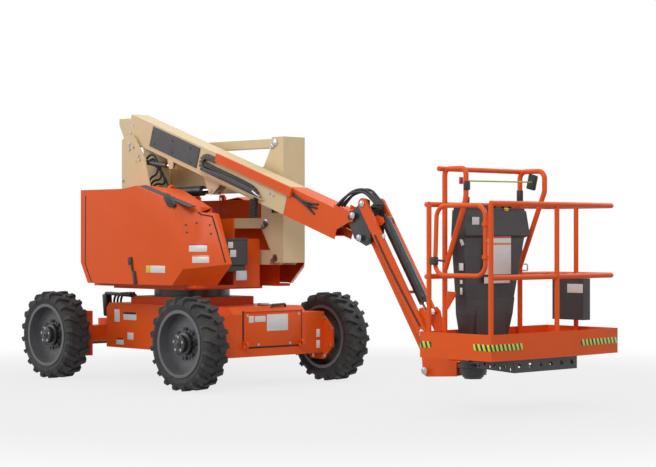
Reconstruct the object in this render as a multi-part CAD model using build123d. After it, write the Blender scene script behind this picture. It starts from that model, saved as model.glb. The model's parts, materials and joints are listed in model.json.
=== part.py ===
from build123d import *
import math
import os

# An articulating boom lift: a wheeled chassis, a turret that swings on it, a two-arm
# tower, a telescopic main boom, a jib and a caged work platform.
# Millimetres. +X runs from the chassis toward the platform, +Y to the machine's left,
# +Z up. Everything is modelled with the swing axis on the Z axis and the ground at
# Z = 0, and moved by origin_shift when it is written.

# ---------------------------------------------------------------- driving dimensions
# running gear
wheelbase = 1960.0
wheel_track = 1670.0           # between the tyres' middles
tyre_diameter = 810.0
tyre_width = 260.0
lug_count = 20                  # in each of a tyre's two rows
lug_height = 25.0
lug_width = 36.0
lug_slant = 22.0                # degrees off the tyre's axis
lug_shoulder = 22.0             # step down at a lug's outer end
lug_inset = 2.1                 # of its outer end, so that its turned corner keeps the width
lug_side_reach = 74.0           # how far a lug runs down the side wall
bead_diameter = 578.0          # over the rim's lips
rim_wall = 14.0
rim_width = 236.0
wheel_disc_offset = 25.0       # disc's outer face, out from the tyre's middle
wheel_disc_thickness = 12.0
hub_radius = 98.0
hub_reach = 122.0              # hub's face, out from the tyre's middle
spindle_radius = 45.0
shaft_clearance = 0.06         # radial, at every turning fit
kingpin_offset = 600.0         # from the centre line
kingpin_radius = 28.0
knuckle_arm = 150.0
tie_rod_radius = 16.0

# chassis
chassis_half_width = 430.0
chassis_behind_rear_axle = -240.0   # its rear face lies this far ahead of the axle
chassis_before_front_axle = 120.0
chassis_bottom = 285.0
chassis_top = 700.0
gussets = (290.0, 790.0)        # X of the ribs under the side panel
gusset_reach = 26.0
slew_radius = 350.0
slew_bottom = 770.0
plate = 12.0                   # common plate thickness
running_gap = 0.3              # flat bearing faces that turn on each other

# turret
deck_bottom = 840.0
deck_top = 865.0
deck_half = 450.0
hood_half_width = 720.0
hood_inner_right = 175.0
hood_inner_left = 470.0
hood_bottom = 890.0
hood_waist = 1080.0
hood_rear = -750.0
hood_nose = 1067.0
hood_wall = 6.0
hood_top_right = 1760.0
hood_top_left = 1680.0
grille_start = -70.0            # X of the first slot in a hood's top
grille_slots = 17
grille_pitch = 46.0
grille_slot = 26.0
grille_length = 62.0            # of a slot, across the hood
grille_from_side = 78.0
hood_hinge_rise = 22.0         # hinge pins over the hood's top
hood_hinge_radius = 8.0
hood_hinge_eye = 16.0

# tower: a lower and an upper parallelogram, one above the other
tower_length = 1560.0
tower_middle = 300.0           # its middle plane, left of the centre line
tower_half_width = 130.0
lower_arm_pin = (960.0, 1120.0)     # front pins, X and Z
lower_link_pin = (834.0, 1440.0)
upper_arm_pin = (834.0, 1840.0)
upper_link_pin = (960.0, 2160.0)
tower_cylinder_foot = (754.0, 1110.0)
tower_cylinder_head = (750.0, 1745.0)
tower_pin_radius = 22.0
upright_web_face = 1070.0
upright_plate = 12.0

# main boom
boom_pivot_behind = 190.0       # behind the tower's upper rear pin
boom_pivot_height = 2200.0
boom_slope = -18.4             # degrees
boom_middle_height = 2094.0    # of its axis above the swing axis
boom_depth = 250.0
boom_width = 200.0
boom_wall = 8.0
boom_tail = 195.0               # its rear end, behind the pivot
boom_front_reach = 1400.0      # X of its front end
fly_depth = 210.0
fly_width = 160.0
nose_depth = 252.0
nose_width = 206.0
nose_reach = 2040.0            # X of the fly's front end
lift_foot_behind = 10.0         # behind the pivot
lift_foot_height = 1722.0
lift_cylinder_head = (320.0, 1744.0)
lift_barrel_radius = 47.0
level_foot_ahead = 110.0        # ahead of the pivot
level_foot_height = 2035.0
level_cylinder_head = (-190.0, 1975.0)
level_barrel_radius = 25.0
lift_rod_showing = 170.2        # between barrel and head pin, as parked
level_rod_showing = 83.7
tower_rod_showing = 235.0
jib_rod_showing = 94.5
pin_over_eye = 1.0              # how far a pin's middle stands out of the rod's eye
boom_pin_radius = 25.0
chain_start = 300.0             # X where the carrier's runs begin, past its bend
chain_end = 1110.0
chain_height = -15.0            # its bend's centre, over the boom's axis
chain_bend = 60.0               # its outer radius round the bend
chain_link_depth = 28.0
chain_width = 32.0
chain_pitch = 32.0
chain_bend_links = 6
chain_gap = 4.0                 # between the carrier and the boom's side
bar_start = 460.0               # X of the carrier's moving bar, which the fly carries
bar_height = 96.0               # its middle over the boom's axis
bar_depth = 78.0
bar_thickness = 26.0
bar_gap = 8.0                   # between the bar and the boom's side

# boom nose, jib and platform bracket
nose_pin_out = 150.0            # ahead of the nose's end
nose_pin_rise = 112.5           # over the boom's axis
slave_offset = 116.0           # of the levelling rod's pin, along and square to the boom
jib_pin_from_nose = (160.0, 112.0)
jib_link_from_nose = (190.0, -190.0)
jib_length = 1240.0
jib_slope = -57.0
jib_half_width = 118.0
jib_tube_width = 42.0
jib_tube_depth = 92.0
jib_pin_radius = 18.0

# platform
rotator_out = 439.65            # ahead of the bracket's upper pin
rotator_radius = 105.0
rotator_bottom = 204.0
rotator_top = 400.0
platform_behind_rotator = 132.0 # clear length between the rotator's axis and the rear rail
platform_depth = 723.0
platform_half_width = 748.0
platform_crown = 18.0          # how far the front stands out in the middle
floor_bottom = 414.0
floor_thickness = 14.0
toe_board = 193.0
toe_wall = 6.0
rail_radius = 20.0
mid_rail_height = 604.0
top_rail_height = 1144.0
guard_height = 1416.0
document_width = 310.0
document_depth = 85.0
beam_hole_radius = 19.0         # in the underframe's front beam
beam_holes = 6
arm_hole_radius = 13.0          # in its two slanting arms
arm_holes = 7

# ---------------------------------------------------------------- worked-out places
axle_x = wheelbase / 2
wheel_y = wheel_track / 2
wheel_radius = tyre_diameter / 2
chassis_rear = -axle_x - chassis_behind_rear_axle
chassis_front = axle_x + chassis_before_front_axle
boom_pivot = (upper_link_pin[0] - tower_length - boom_pivot_behind, boom_pivot_height)
boom_rear_reach = boom_pivot[0] - boom_tail
lift_cylinder_foot = (boom_pivot[0] - lift_foot_behind, lift_foot_height)
level_cylinder_foot = (boom_pivot[0] + level_foot_ahead, level_foot_height)
boom_rise = math.tan(math.radians(boom_slope))
nose_pin = (nose_reach + nose_pin_out, boom_middle_height + boom_rise * (nose_reach + nose_pin_out) + nose_pin_rise)
jib_pin = (nose_pin[0] + jib_pin_from_nose[0], nose_pin[1] + jib_pin_from_nose[1])
jib_link_pin = (nose_pin[0] + jib_link_from_nose[0], nose_pin[1] + jib_link_from_nose[1])
jib_reach = (jib_length * math.cos(math.radians(jib_slope)),
             jib_length * math.sin(math.radians(jib_slope)))
bracket_pin = (jib_pin[0] + jib_reach[0], jib_pin[1] + jib_reach[1])
bracket_link_pin = (jib_link_pin[0] + jib_reach[0], jib_link_pin[1] + jib_reach[1])
rotator_x = bracket_pin[0] + rotator_out
platform_rear = rotator_x + platform_behind_rotator
platform_front = platform_rear + platform_depth
document_middle = platform_rear + 318
overall_rear = -(axle_x + wheel_radius)
origin_shift = -(overall_rear + platform_front) / 2
slew_top = deck_bottom - running_gap


def block(x, y, z):
    """A box between two X, two Y and two Z values."""
    return Pos((x[0] + x[1]) / 2, (y[0] + y[1]) / 2, (z[0] + z[1]) / 2) * Box(
        x[1] - x[0], y[1] - y[0], z[1] - z[0])


def flat(outline):
    """A closed outline as a face whose normal is the sketch plane's."""
    turned = sum(a[0] * b[1] - b[0] * a[1] for a, b in zip(outline, outline[1:] + outline[:1]))
    return Polygon(*(outline if turned > 0 else outline[::-1]), align=None)


def side_form(outline, y):
    """An XZ outline made solid between two Y values."""
    return extrude(Plane.XZ.offset(-y[1]) * flat(outline), y[1] - y[0])


def plan_form(outline, z):
    """An XY outline made solid between two Z values."""
    return extrude(Plane.XY.offset(z[0]) * flat(outline), z[1] - z[0])


def end_form(outline, x):
    """A YZ outline made solid between two X values."""
    return extrude(Plane.YZ.offset(x[0]) * flat(outline), x[1] - x[0])


def pin_ends(at, radius, middle, inner, outer):
    """The two ends of a cross pin in its lugs, from inner to outer either side of its middle."""
    ends = [cross_pin(at, radius, sorted((middle + side * inner, middle + side * outer))) for side in (-1, 1)]
    return ends[0] + ends[1]


def cross_pin(at, radius, y):
    """A round bar along Y at an X, Z place."""
    return Pos(at[0], (y[0] + y[1]) / 2, at[1]) * Rot(90, 0, 0) * Cylinder(radius, y[1] - y[0])


def upright_pin(at, radius, z):
    """A round bar along Z at an X, Y place."""
    return Pos(at[0], at[1], (z[0] + z[1]) / 2) * Cylinder(radius, z[1] - z[0])


def toward(start, end, y=0.0):
    """The place at start whose X axis points at end, in the machine's side plane."""
    rise = math.degrees(math.atan2(end[1] - start[1], end[0] - start[0]))
    return Pos(start[0], y, start[1]) * Rot(0, -rise, 0)


def distance(start, end):
    return math.hypot(end[0] - start[0], end[1] - start[1])


def local_bar(x, radius, y=0.0, z=0.0):
    """A round bar along the local X axis."""
    return Pos((x[0] + x[1]) / 2, y, z) * Rot(0, 90, 0) * Cylinder(radius, x[1] - x[0])


def both_sides(shape):
    return shape + mirror(shape, Plane.XZ)


def tube_run(points, bend, radius=rail_radius):
    """A round rail along a path of straight runs with equal bends."""
    path = FilletPolyline(*points, radius=bend) if len(points) > 2 else Polyline(*points)
    return sweep(Plane(origin=path @ 0, z_dir=path % 0) * Circle(radius), path=path)


# ---------------------------------------------------------------- boom's own frame
boom_cos = math.cos(math.radians(boom_slope))
boom_sin = math.sin(math.radians(boom_slope))


slave_pin = (nose_pin[0] + slave_offset * (boom_cos + boom_sin),
             nose_pin[1] + slave_offset * (boom_sin - boom_cos))


def boom_frame(y=0.0):
    """Local X runs along the boom from the swing axis, local Z square to it."""
    return Pos(0, y, boom_middle_height) * Rot(0, -boom_slope, 0)


def along_boom(x):
    """Distance along the boom of the place of its axis over a machine X."""
    return x / boom_cos


def in_boom(at):
    """A machine X, Z place in the boom's own frame."""
    dx, dz = at[0], at[1] - boom_middle_height
    return (dx * boom_cos + dz * boom_sin, -dx * boom_sin + dz * boom_cos)


# ---------------------------------------------------------------- running gear
def tyre_lug(side, crest):
    """One slanting lug at the tyre's top, from the middle out over the shoulder."""
    half, middle = tyre_width / 2, tyre_width / 4
    profile = [(5, crest - lug_height - 14), (5, crest), (half - lug_shoulder, crest), (half - lug_inset, crest - lug_shoulder),
               (half - lug_inset, crest - lug_side_reach), (half - 16, crest - lug_side_reach)]
    bar = end_form([(side * y, z) for y, z in profile], (-lug_width / 2, lug_width / 2))
    return Pos(0, side * middle, 0) * Rot(0, 0, side * lug_slant) * Pos(0, -side * middle, 0) * bar


def tyre():
    """A field tyre about its own middle, axis on Y: a carcass with two rows of slanting lugs."""
    inner = bead_diameter / 2 - rim_wall
    half = tyre_width / 2 - 6
    bead = rim_width / 2 - 6
    crown = wheel_radius - lug_height
    outline = [(inner, -bead), (inner + 20, -bead), (inner + 60, -half), (crown - 44, -half),
               (crown - 12, -half + 14), (crown, -half + 40)]
    outline += [(r, -y) for r, y in reversed(outline)]
    body = Rot(90, 0, 0) * revolve(Plane.XZ * flat(outline), Axis.Z)
    slant = math.radians(lug_slant)
    lean = (tyre_width / 4 - 5) * math.sin(slant) + lug_width / 2 * math.cos(slant)
    crest = math.sqrt(wheel_radius ** 2 - lean ** 2)
    phase = math.degrees(math.asin(lean / wheel_radius))
    pitch = 360 / lug_count
    lugs = []
    for side, stagger in ((-1, -phase), (1, pitch / 2 - phase)):
        one = tyre_lug(side, crest)
        lugs += [Rot(0, stagger + i * pitch, 0) * one for i in range(lug_count)]
    return body.fuse(*lugs)


def rim(side):
    """Rim, lips and dished disc about the tyre's middle; side is +1 or -1 outward."""
    outer = bead_diameter / 2 - rim_wall
    lip = bead_diameter / 2
    half = rim_width / 2
    lip_width = 6.0
    disc = wheel_disc_offset
    bore = spindle_radius + shaft_clearance
    outline = [(outer, -half + lip_width), (lip, -half + lip_width), (lip, -half),
               (outer - rim_wall, -half), (outer - rim_wall, disc - wheel_disc_thickness),
               (spindle_radius + 30, disc - wheel_disc_thickness), (spindle_radius + 30, disc - 55),
               (bore, disc - 55), (bore, disc), (outer - rim_wall, disc), (outer - rim_wall, half),
               (lip, half), (lip, half - lip_width), (outer, half - lip_width)]
    turned = [(r, -side * y) for r, y in outline]
    return Rot(90, 0, 0) * revolve(Plane.XZ * flat(turned), Axis.Z)


def hub(side):
    """The cover over the hub with its ring of studs."""
    face = side * wheel_disc_offset
    step = side * (wheel_disc_offset + 30)
    end = side * hub_reach
    outline = [(0, step), (0, end), (hub_radius - 34, end), (hub_radius - 22, end - side * 8),
               (hub_radius - 22, step + side * 20), (hub_radius, step + side * 14), (hub_radius, face),
               (spindle_radius + 6, face), (spindle_radius + 6, step)]
    turned = [(r, -y) for r, y in outline]
    body = Rot(90, 0, 0) * revolve(Plane.XZ * flat(turned), Axis.Z)
    studs = [Rot(0, 0, 0) * Rot(0, a * 45, 0) * Pos(0, face + side * 11, hub_radius + 26)
             * Rot(90, 0, 0) * Cylinder(13, 22) for a in range(8)]
    return [body] + studs


tie_down_radius = 20.0
tie_down_thickness = 16.0
tie_down_y = 330.0
tie_down_z = 370.0
tie_down_out = 34.0            # hole's centre, out from the face that carries the lug


def tie_down(face, outward, side):
    """A lashing lug with its hole, standing out from an end face of the chassis."""
    x = face + outward * tie_down_out
    y = (side * tie_down_y - tie_down_thickness / 2, side * tie_down_y + tie_down_thickness / 2)
    lug = block(sorted((face, x)), y, (tie_down_z - 36, tie_down_z + 36)) + cross_pin((x, tie_down_z), 36, y)
    return lug - cross_pin((x, tie_down_z), tie_down_radius, (y[0] - 1, y[1] + 1))


def axle_end_plate(side):
    """The eight-sided flange at a drive axle's end."""
    radius = 215.0
    return Pos(axle_x, side * 680, wheel_radius) * Rot(90, 22.5 * 0, 0) * extrude(
        RegularPolygon(radius, 8, rotation=22.5), 12, both=True)


def drive_axle():
    """The fixed axle under the machine's front, tapered out to a flange at each end."""
    plan = [(axle_x - 110, -668), (axle_x + 95, -668), (chassis_front, -chassis_half_width + 10),
            (chassis_front, chassis_half_width - 10), (axle_x + 95, 668), (axle_x - 110, 668),
            (axle_x - 170, chassis_half_width), (axle_x - 170, -chassis_half_width)]
    beam = plan_form(plan, (268, 640))
    beam -= plan_form([(axle_x - 400, -chassis_half_width - 2), (chassis_front - plate, -chassis_half_width - 2),
                       (chassis_front - plate, chassis_half_width + 2), (axle_x - 400, chassis_half_width + 2)], (200, 700))
    for side in (-1, 1):
        beam += axle_end_plate(side)
        beam += Pos(axle_x, side * 770, wheel_radius) * Rot(90, 0, 0) * Cylinder(spindle_radius, 160)
        beam += Pos(axle_x, side * 712, wheel_radius) * Rot(90, 0, 0) * Cylinder(120, 40)
        beam += tie_down(chassis_front, 1, side)
    return beam


def steer_axle():
    """The beam under the machine's rear with a forked end for each kingpin."""
    beam = block((-axle_x - 70, -axle_x + 70), (-500, 500), (330, 480))
    for side in (-1, 1):
        beam += tie_down(-axle_x - 70, -1, side)
    beam += block((-axle_x - 70, chassis_rear), (-300, 300), (330, 540))
    for side in (-1, 1):
        fork = block((-axle_x - 75, -axle_x + 75), sorted((side * 470, side * 500)), (196, 618))
        for z in ((196, 226), (588, 618)):
            fork += block((-axle_x - 60, -axle_x + 60), sorted((side * 490, side * kingpin_offset)), z)
            fork += upright_pin((-axle_x, side * kingpin_offset), 60, z)
        beam += fork
        beam += upright_pin((-axle_x, side * kingpin_offset), kingpin_radius, (190, 624))
    return beam


def knuckle(side):
    """Steering knuckle: kingpin barrel, spindle and rearward steering arm."""
    kingpin = (-axle_x, side * kingpin_offset)
    low, high = 226 + running_gap, 588 - running_gap
    body = upright_pin(kingpin, 54, (low, high))
    body += Pos(-axle_x, side * (kingpin_offset + 60), wheel_radius) * Rot(90, 0, 0) * Cylinder(80, 60)
    body += Pos(-axle_x, side * (kingpin_offset + 135), wheel_radius) * Rot(90, 0, 0) * Cylinder(spindle_radius, 250)
    arm_z = (262, 286)
    body += block((-axle_x - knuckle_arm, -axle_x), (side * kingpin_offset - 26, side * kingpin_offset + 26), arm_z)
    body += upright_pin((-axle_x - knuckle_arm, side * kingpin_offset), 30, arm_z)
    body += upright_pin((-axle_x - knuckle_arm, side * kingpin_offset), 12, (262, 318))
    body -= upright_pin(kingpin, kingpin_radius + shaft_clearance, (180, 640))
    return body


def tie_rod():
    """The bar that joins both steering arms, with an eye over each arm's pin."""
    x = -axle_x - knuckle_arm
    low = 286 + running_gap
    bar = Pos(x, 0, low + 15) * Rot(90, 0, 0) * Cylinder(tie_rod_radius - 3, 2 * kingpin_offset)
    for side in (-1, 1):
        bar += upright_pin((x, side * kingpin_offset), 28, (low, low + 30))
    for side in (-1, 1):
        bar -= upright_pin((x, side * kingpin_offset), 12 + shaft_clearance, (low - 1, low + 31))
    return bar


# ---------------------------------------------------------------- chassis
def chassis_frame():
    half = chassis_half_width
    sides = [(chassis_rear, chassis_bottom), (chassis_front - plate, chassis_bottom),
             (chassis_front - plate, chassis_top - 60), (chassis_front - 80, chassis_top),
             (chassis_rear + 40, chassis_top), (chassis_rear, chassis_top - 50)]
    box = side_form(sides, (-half, half))
    box += plan_form([(-430, -380), (430, -380), (430, 380), (-430, 380)], (chassis_top, slew_bottom))
    box -= block((-axle_x + 300, axle_x - 260), (-half + plate, half - plate), (chassis_bottom - 10, chassis_top - plate))
    box -= block((axle_x - 170, chassis_front - plate), (-half + 0, half - 0), (chassis_bottom - 10, 640))
    for side in (-1, 1):
        for x in gussets:
            rib = end_form([(side * half, chassis_bottom + 20), (side * (half + gusset_reach), chassis_bottom + 20),
                            (side * (half + gusset_reach), chassis_bottom + 44), (side * half, chassis_bottom + 190)],
                           (x, x + plate))
            box += rib
        lip = block((gussets[0], gussets[1] + plate), sorted((side * half, side * (half + gusset_reach))),
                    (chassis_bottom + 8, chassis_bottom + 20))
        box += lip
    return box


def slew_ring():
    ring = upright_pin((0, 0), slew_radius, (slew_bottom, slew_top))
    return ring - upright_pin((0, 0), slew_radius - 90, (slew_bottom - 1, slew_top + 1))


# ---------------------------------------------------------------- turret
hood_hinges_x = (-520.0, -150.0)
hood_hinge_right = (-(hood_inner_right - 13), hood_top_right + hood_hinge_rise)
hood_hinge_left = (hood_inner_left - 11, hood_top_left + hood_hinge_rise)
tray_top = hood_bottom - running_gap


def hinge_tabs(axis):
    """Two posts of the turret with the pins that one hood's eyes turn on."""
    tabs = []
    for x in hood_hinges_x:
        tabs.append(block((x, x + plate), (axis[0] - 4, axis[0] + 4), (1400, axis[1])))
        tabs.append(Pos(x + 38, axis[0], axis[1]) * Rot(0, 90, 0) * Cylinder(hood_hinge_radius, 76))
    return tabs


def hinge_eyes(axis, outward):
    """The hood's eyes and the straps that join them to its top."""
    eyes = []
    for x in hood_hinges_x:
        eye = Pos(x + 45, axis[0], axis[1]) * Rot(0, 90, 0) * Cylinder(hood_hinge_eye, 40)
        strap = block((x + 25, x + 65), sorted((axis[0] + outward * 8, axis[0] + outward * 60)),
                      (axis[1] - hood_hinge_rise - 14, axis[1] + 6))
        eye = eye + strap - Pos(x + 45, axis[0], axis[1]) * Rot(0, 90, 0) * Cylinder(
            hood_hinge_radius + shaft_clearance, 60)
        eyes.append(eye)
    return eyes


def tower_cheek(y):
    """A plate of the turret that carries the lower arm's and lower link's rear pins."""
    ax, az = lower_arm_pin[0] - tower_length, lower_arm_pin[1]
    lx, lz = lower_link_pin[0] - tower_length, lower_link_pin[1]
    outline = [(ax - 160, deck_top), (ax + 260, deck_top), (ax + 90, az + 40), (lx + 70, lz + 70), (lx - 60, lz + 70),
               (ax - 160, az)]
    return side_form(outline, y)


def turret_frame():
    deck = block((-deck_half - 150, deck_half), (-deck_half, deck_half), (deck_bottom, deck_top))
    inner = -hood_inner_right + 10
    deck += block((-700, 780), (inner, inner + plate), (deck_top, 1480))
    deck += block((-700, 780), (-600, inner), (deck_top, tray_top))
    for y in ((tower_middle - 150, tower_middle - 138), (tower_middle + 138, tower_middle + 150)):
        deck += tower_cheek(y)
    deck += block((760, 780), (inner, tower_middle - 155), (deck_top, 1300))
    deck += block((-600, 700), (hood_inner_left - 18, hood_half_width - 130), (deck_top, tray_top))
    deck += block((-560, 700), (hood_inner_left - 15, hood_inner_left - 7), (deck_top, 1420))
    for axis in (hood_hinge_right, hood_hinge_left):
        for tab in hinge_tabs(axis):
            deck += tab
    deck += block((-deck_half, deck_half), (400, 470), (deck_bottom, deck_top))
    rear_pins = [(lower_arm_pin[0] - tower_length, lower_arm_pin[1]),
                 (lower_link_pin[0] - tower_length, lower_link_pin[1])]
    for at in rear_pins:
        deck += cross_pin(at, tower_pin_radius, (tower_middle - 152, tower_middle + 152))
    return deck


def hood_form(inner, outer, top, inset):
    """A hood's outer form, or its hollow when inset; inner and outer are distances from the
    centre line, and a mirror makes the other side."""
    t = inset
    side = [(hood_rear + 110 + t, hood_bottom - t * 9), (780 - t, hood_bottom - t * 9), (hood_nose - t, hood_waist + t),
            (900 - t, top - 250 - t), (780 - t, top - 250 - t), (780 - t, top - 180 - t), (90, top + 15 - t),
            (-110, top - 10 - t), (hood_rear + 110 + t, top - 10 - t), (hood_rear + t, hood_waist + t)]
    body = side_form(side, (-outer, -inner + t * 9))
    cross = [(-inner + t * 9, hood_bottom - t * 9), (-outer + 160 + t, hood_bottom - t * 9),
             (-outer + t, hood_waist + t), (-outer + t, top - 130 - t), (-outer + 60 + t, top - 70 - t),
             (-inner + t * 9, top + 20 - t)]
    body &= end_form(cross, (hood_rear - 10, hood_nose + 10))
    plan = [(hood_rear + t, -inner + t * 9), (hood_rear + t, -outer + 40), (hood_rear + 50, -outer + t),
            (600 - t, -outer + t), (hood_nose - t, -430 + t), (hood_nose - t, -inner + t * 9)]
    if inner > 430:
        plan = plan[:4] + [(hood_nose - t - 65, -inner + t * 9)]
    body &= plan_form(plan, (700, 2000))
    return body


def hood(inner, top, hinge):
    """One hood with its hinge eyes, on the machine's right."""
    shell = hood_form(inner, hood_half_width, top, 0) - hood_form(inner, hood_half_width, top, hood_wall)
    for eye in hinge_eyes((-abs(hinge[0]), hinge[1]), -1):
        shell += eye
    grille_edge = -hood_half_width + grille_from_side
    for i in range(grille_slots):
        x = grille_start + i * grille_pitch
        shell -= block((x, x + grille_slot), (grille_edge, grille_edge + grille_length), (top - 130, top + 30))
    return shell


def counterweight():
    return block((-690, -250), (-148, 140), (deck_top, 1560))


def power_block():
    """The engine and pump under the right hood, as one plain block."""
    return block((-480, 420), (-520, -230), (tray_top, 1430))


def control_box():
    """Ground control box on the turret's front plate."""
    box = block((780, 905), (-150, 120), (1065, 1300))
    box = fillet(box.edges().filter_by(Axis.X), 14)
    return box


# ---------------------------------------------------------------- tower
def back(at):
    """The rear pin of an arm whose front pin is given."""
    return (at[0] - tower_length, at[1])


def ended_bar(start, end, depth, y, end_radius):
    """A flat-sided bar with round ends, between two pins."""
    length = distance(start, end)
    bar = Pos(length / 2, 0, 0) * Box(length, y[1] - y[0], depth)
    for x in (0, length):
        bar += Pos(x, 0, 0) * Rot(90, 0, 0) * Cylinder(end_radius, y[1] - y[0])
    return toward(start, end, (y[0] + y[1]) / 2) * bar


def lower_arm():
    width = (tower_middle - 100, tower_middle + 100)
    front, rear = lower_arm_pin, back(lower_arm_pin)
    outline = [(rear[0] - 62, rear[1] - 20), (rear[0] - 20, rear[1] - 55), (front[0] + 20, front[1] - 55),
               (front[0] + 62, front[1] - 20), (front[0] + 62, front[1] + 30), (front[0] - 20, front[1] + 76),
               (rear[0] + 20, rear[1] + 76), (rear[0] - 62, rear[1] + 30)]
    arm = side_form(outline, width)
    arm -= block((rear[0] + 120, front[0] - 330), (width[0] + 10, width[1] - 10), (front[1] - 45, front[1] + 66))
    well = 60.0
    foot = tower_cylinder_foot
    arm -= block((foot[0] - 110, front[0] + 90), (tower_middle - well, tower_middle + well), (foot[1] - 70, foot[1] + 100))
    arm += pin_ends(foot, 18, tower_middle, 36, well + 2)
    for at in (front, rear):
        arm -= cross_pin(at, tower_pin_radius + shaft_clearance, (width[0] - 5, width[1] + 5))
    return arm


def lower_link():
    """Two flat bars either side of the tower's cylinder, joined near their ends."""
    front, rear = lower_link_pin, back(lower_link_pin)
    bars = None
    for y in ((tower_middle - 92, tower_middle - 74), (tower_middle + 74, tower_middle + 92)):
        bar = ended_bar(rear, front, 92, y, 46)
        bars = bar if bars is None else bars + bar
    for x in (rear[0] + 160, rear[0] + 900):
        bars += block((x, x + 60), (tower_middle - 80, tower_middle + 80), (front[1] - 30, front[1] + 30))
    for at in (front, rear):
        bars -= cross_pin(at, tower_pin_radius + shaft_clearance, (tower_middle - 100, tower_middle + 100))
    return bars


def mid_upright():
    """The channel that joins the two parallelograms at the front."""
    low, high = lower_arm_pin[1] - 35, upper_link_pin[1] + 50
    y0, y1 = tower_middle - tower_half_width, tower_middle + tower_half_width
    web = block((upright_web_face - upright_plate, upright_web_face), (y0, y1), (low, high))
    side = [(upright_web_face - upright_plate, low), (lower_arm_pin[0] - 45, low), (lower_arm_pin[0] - 50, low + 90),
            (lower_link_pin[0] - 60, lower_link_pin[1] - 50), (lower_link_pin[0] - 62, upper_arm_pin[1] + 50),
            (upper_link_pin[0] - 50, upper_link_pin[1] - 30), (upper_link_pin[0] - 45, high),
            (upright_web_face - upright_plate, high)]
    frame = web
    for y in ((y0, y0 + upright_plate), (y1 - upright_plate, y1)):
        cheek = side_form(side, y)
        cheek -= block((900, 1010), (y[0] - 1, y[1] + 1), (1530, 1760))
        frame += cheek
    for at in (lower_arm_pin, upper_arm_pin, upper_link_pin):
        frame += cross_pin(at, tower_pin_radius, (y0 - 5, y1 + 5))
    for y in ((y0 - 5, tower_middle - 70), (tower_middle + 70, y1 + 5)):
        frame += cross_pin(lower_link_pin, tower_pin_radius, y)
    return frame


def upper_arm():
    width = (tower_middle - 100, tower_middle + 100)
    front, rear = upper_arm_pin, back(upper_arm_pin)
    outline = [(rear[0] - 60, rear[1] - 40), (rear[0] + 60, rear[1] - 118), (front[0] - 30, front[1] - 118),
               (front[0] + 62, front[1] - 50), (front[0] + 62, front[1] + 50), (front[0] - 60, front[1] + 108),
               (rear[0] + 60, rear[1] + 108), (rear[0] - 60, rear[1] + 50)]
    arm = side_form(outline, width)
    arm -= block((rear[0] + 140, front[0] - 330), (width[0] + 10, width[1] - 10), (front[1] - 108, front[1] + 98))
    head = tower_cylinder_head
    well = 60.0
    arm -= block((head[0] - 110, front[0] + 90), (tower_middle - well, tower_middle + well), (head[1] - 100, head[1] + 55))
    arm += cross_pin(head, 18, (tower_middle - well - 2, tower_middle + well + 2))
    for at in (front, rear):
        arm -= cross_pin(at, tower_pin_radius + shaft_clearance, (width[0] - 5, width[1] + 5))
    return arm


def upper_link():
    front, rear = upper_link_pin, back(upper_link_pin)
    bar = ended_bar(rear, front, 76, (tower_middle - 85, tower_middle + 85), 38)
    bar -= block((rear[0] + 120, front[0] - 120), (tower_middle - 75, tower_middle + 75), (front[1] - 28, front[1] + 28))
    for at in (front, rear):
        bar -= cross_pin(at, tower_pin_radius + shaft_clearance, (tower_middle - 90, tower_middle + 90))
    return bar


upright_right = (-132.0, -120.0)
upright_inner = (130.0, 142.0)
upright_outer = (418.0, 430.0)


def upper_upright():
    """The frame that stands on the tower's upper rear pins and holds the main boom's foot."""
    px, pz = boom_pivot
    right = [(px - 110, 1655), (px + 330, 1655), (px + 330, 1780), (px + 250, 2050), (px + 90, 2262),
             (px + 40, 2290), (px - 40, 2290), (px - 110, 2240)]
    left = [(px - 110, 1700), (px + 290, 1700), (px + 290, 2060), (px + 250, 2225), (px + 40, 2290),
            (px - 40, 2290), (px - 110, 2240)]
    frame = side_form(right, upright_right)
    frame += side_form(left, upright_inner)
    frame += side_form(left, upright_outer)
    floor = (1655, 1655 + plate)
    frame += block((px - 110, px + 200), (upright_right[0], upright_inner[1]), (1655, 1667))
    frame += block((px - 110, px - 98), (upright_right[0], upright_inner[1]), (1655, 1860))
    frame += block((px - 110, px - 98), (upright_inner[0], upright_outer[1]), (1700, 2240))
    frame += side_form([(px - 110, 1655), (px - 98, 1655), (px - 98, 1720), (px - 110, 1720)], (upright_right[0], upright_outer[1]))
    for at in (back(upper_arm_pin), back(upper_link_pin)):
        frame += cross_pin(at, tower_pin_radius, (upright_inner[0] - 6, upright_outer[1] + 6))
    frame += cross_pin(boom_pivot, boom_pin_radius, (upright_right[0] - 8, upright_inner[1] + 8))
    frame += cross_pin(lift_cylinder_foot, boom_pin_radius, (upright_right[0] - 8, upright_inner[1] + 8))
    frame += cross_pin(level_cylinder_foot, 14, (upright_right[0] - 6, -40))
    return frame


# ---------------------------------------------------------------- cylinders
def barrel(foot, head, rod_showing, radius, rod_radius, pin_radius, y=0.0):
    """A cylinder's barrel from its foot pin toward its head pin, bored for the rod."""
    length = distance(foot, head) - rod_showing
    body = local_bar((0, length), radius) + Rot(90, 0, 0) * Cylinder(radius * 0.95, radius * 1.6)
    body -= local_bar((radius + 12, length + 1), rod_radius + 1.0)
    body -= Rot(90, 0, 0) * Cylinder(pin_radius + shaft_clearance, radius * 2 + 40)
    return toward(foot, head, y) * body


def rod(foot, head, start, radius, pin_radius, eye_radius, eye_width, y=0.0):
    """A cylinder's rod from inside its barrel out to its eye, with the middle of the head pin in it."""
    length = distance(foot, head)
    body = local_bar((start, length - eye_radius * 0.6), radius)
    body += Pos(length, 0, 0) * Rot(90, 0, 0) * Cylinder(eye_radius, eye_width)
    body += Pos(length, 0, 0) * Rot(90, 0, 0) * Cylinder(pin_radius, eye_width + 2 * pin_over_eye)
    return toward(foot, head, y) * body


# ---------------------------------------------------------------- main boom
lift_y = 8.0
level_y = -80.0


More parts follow.
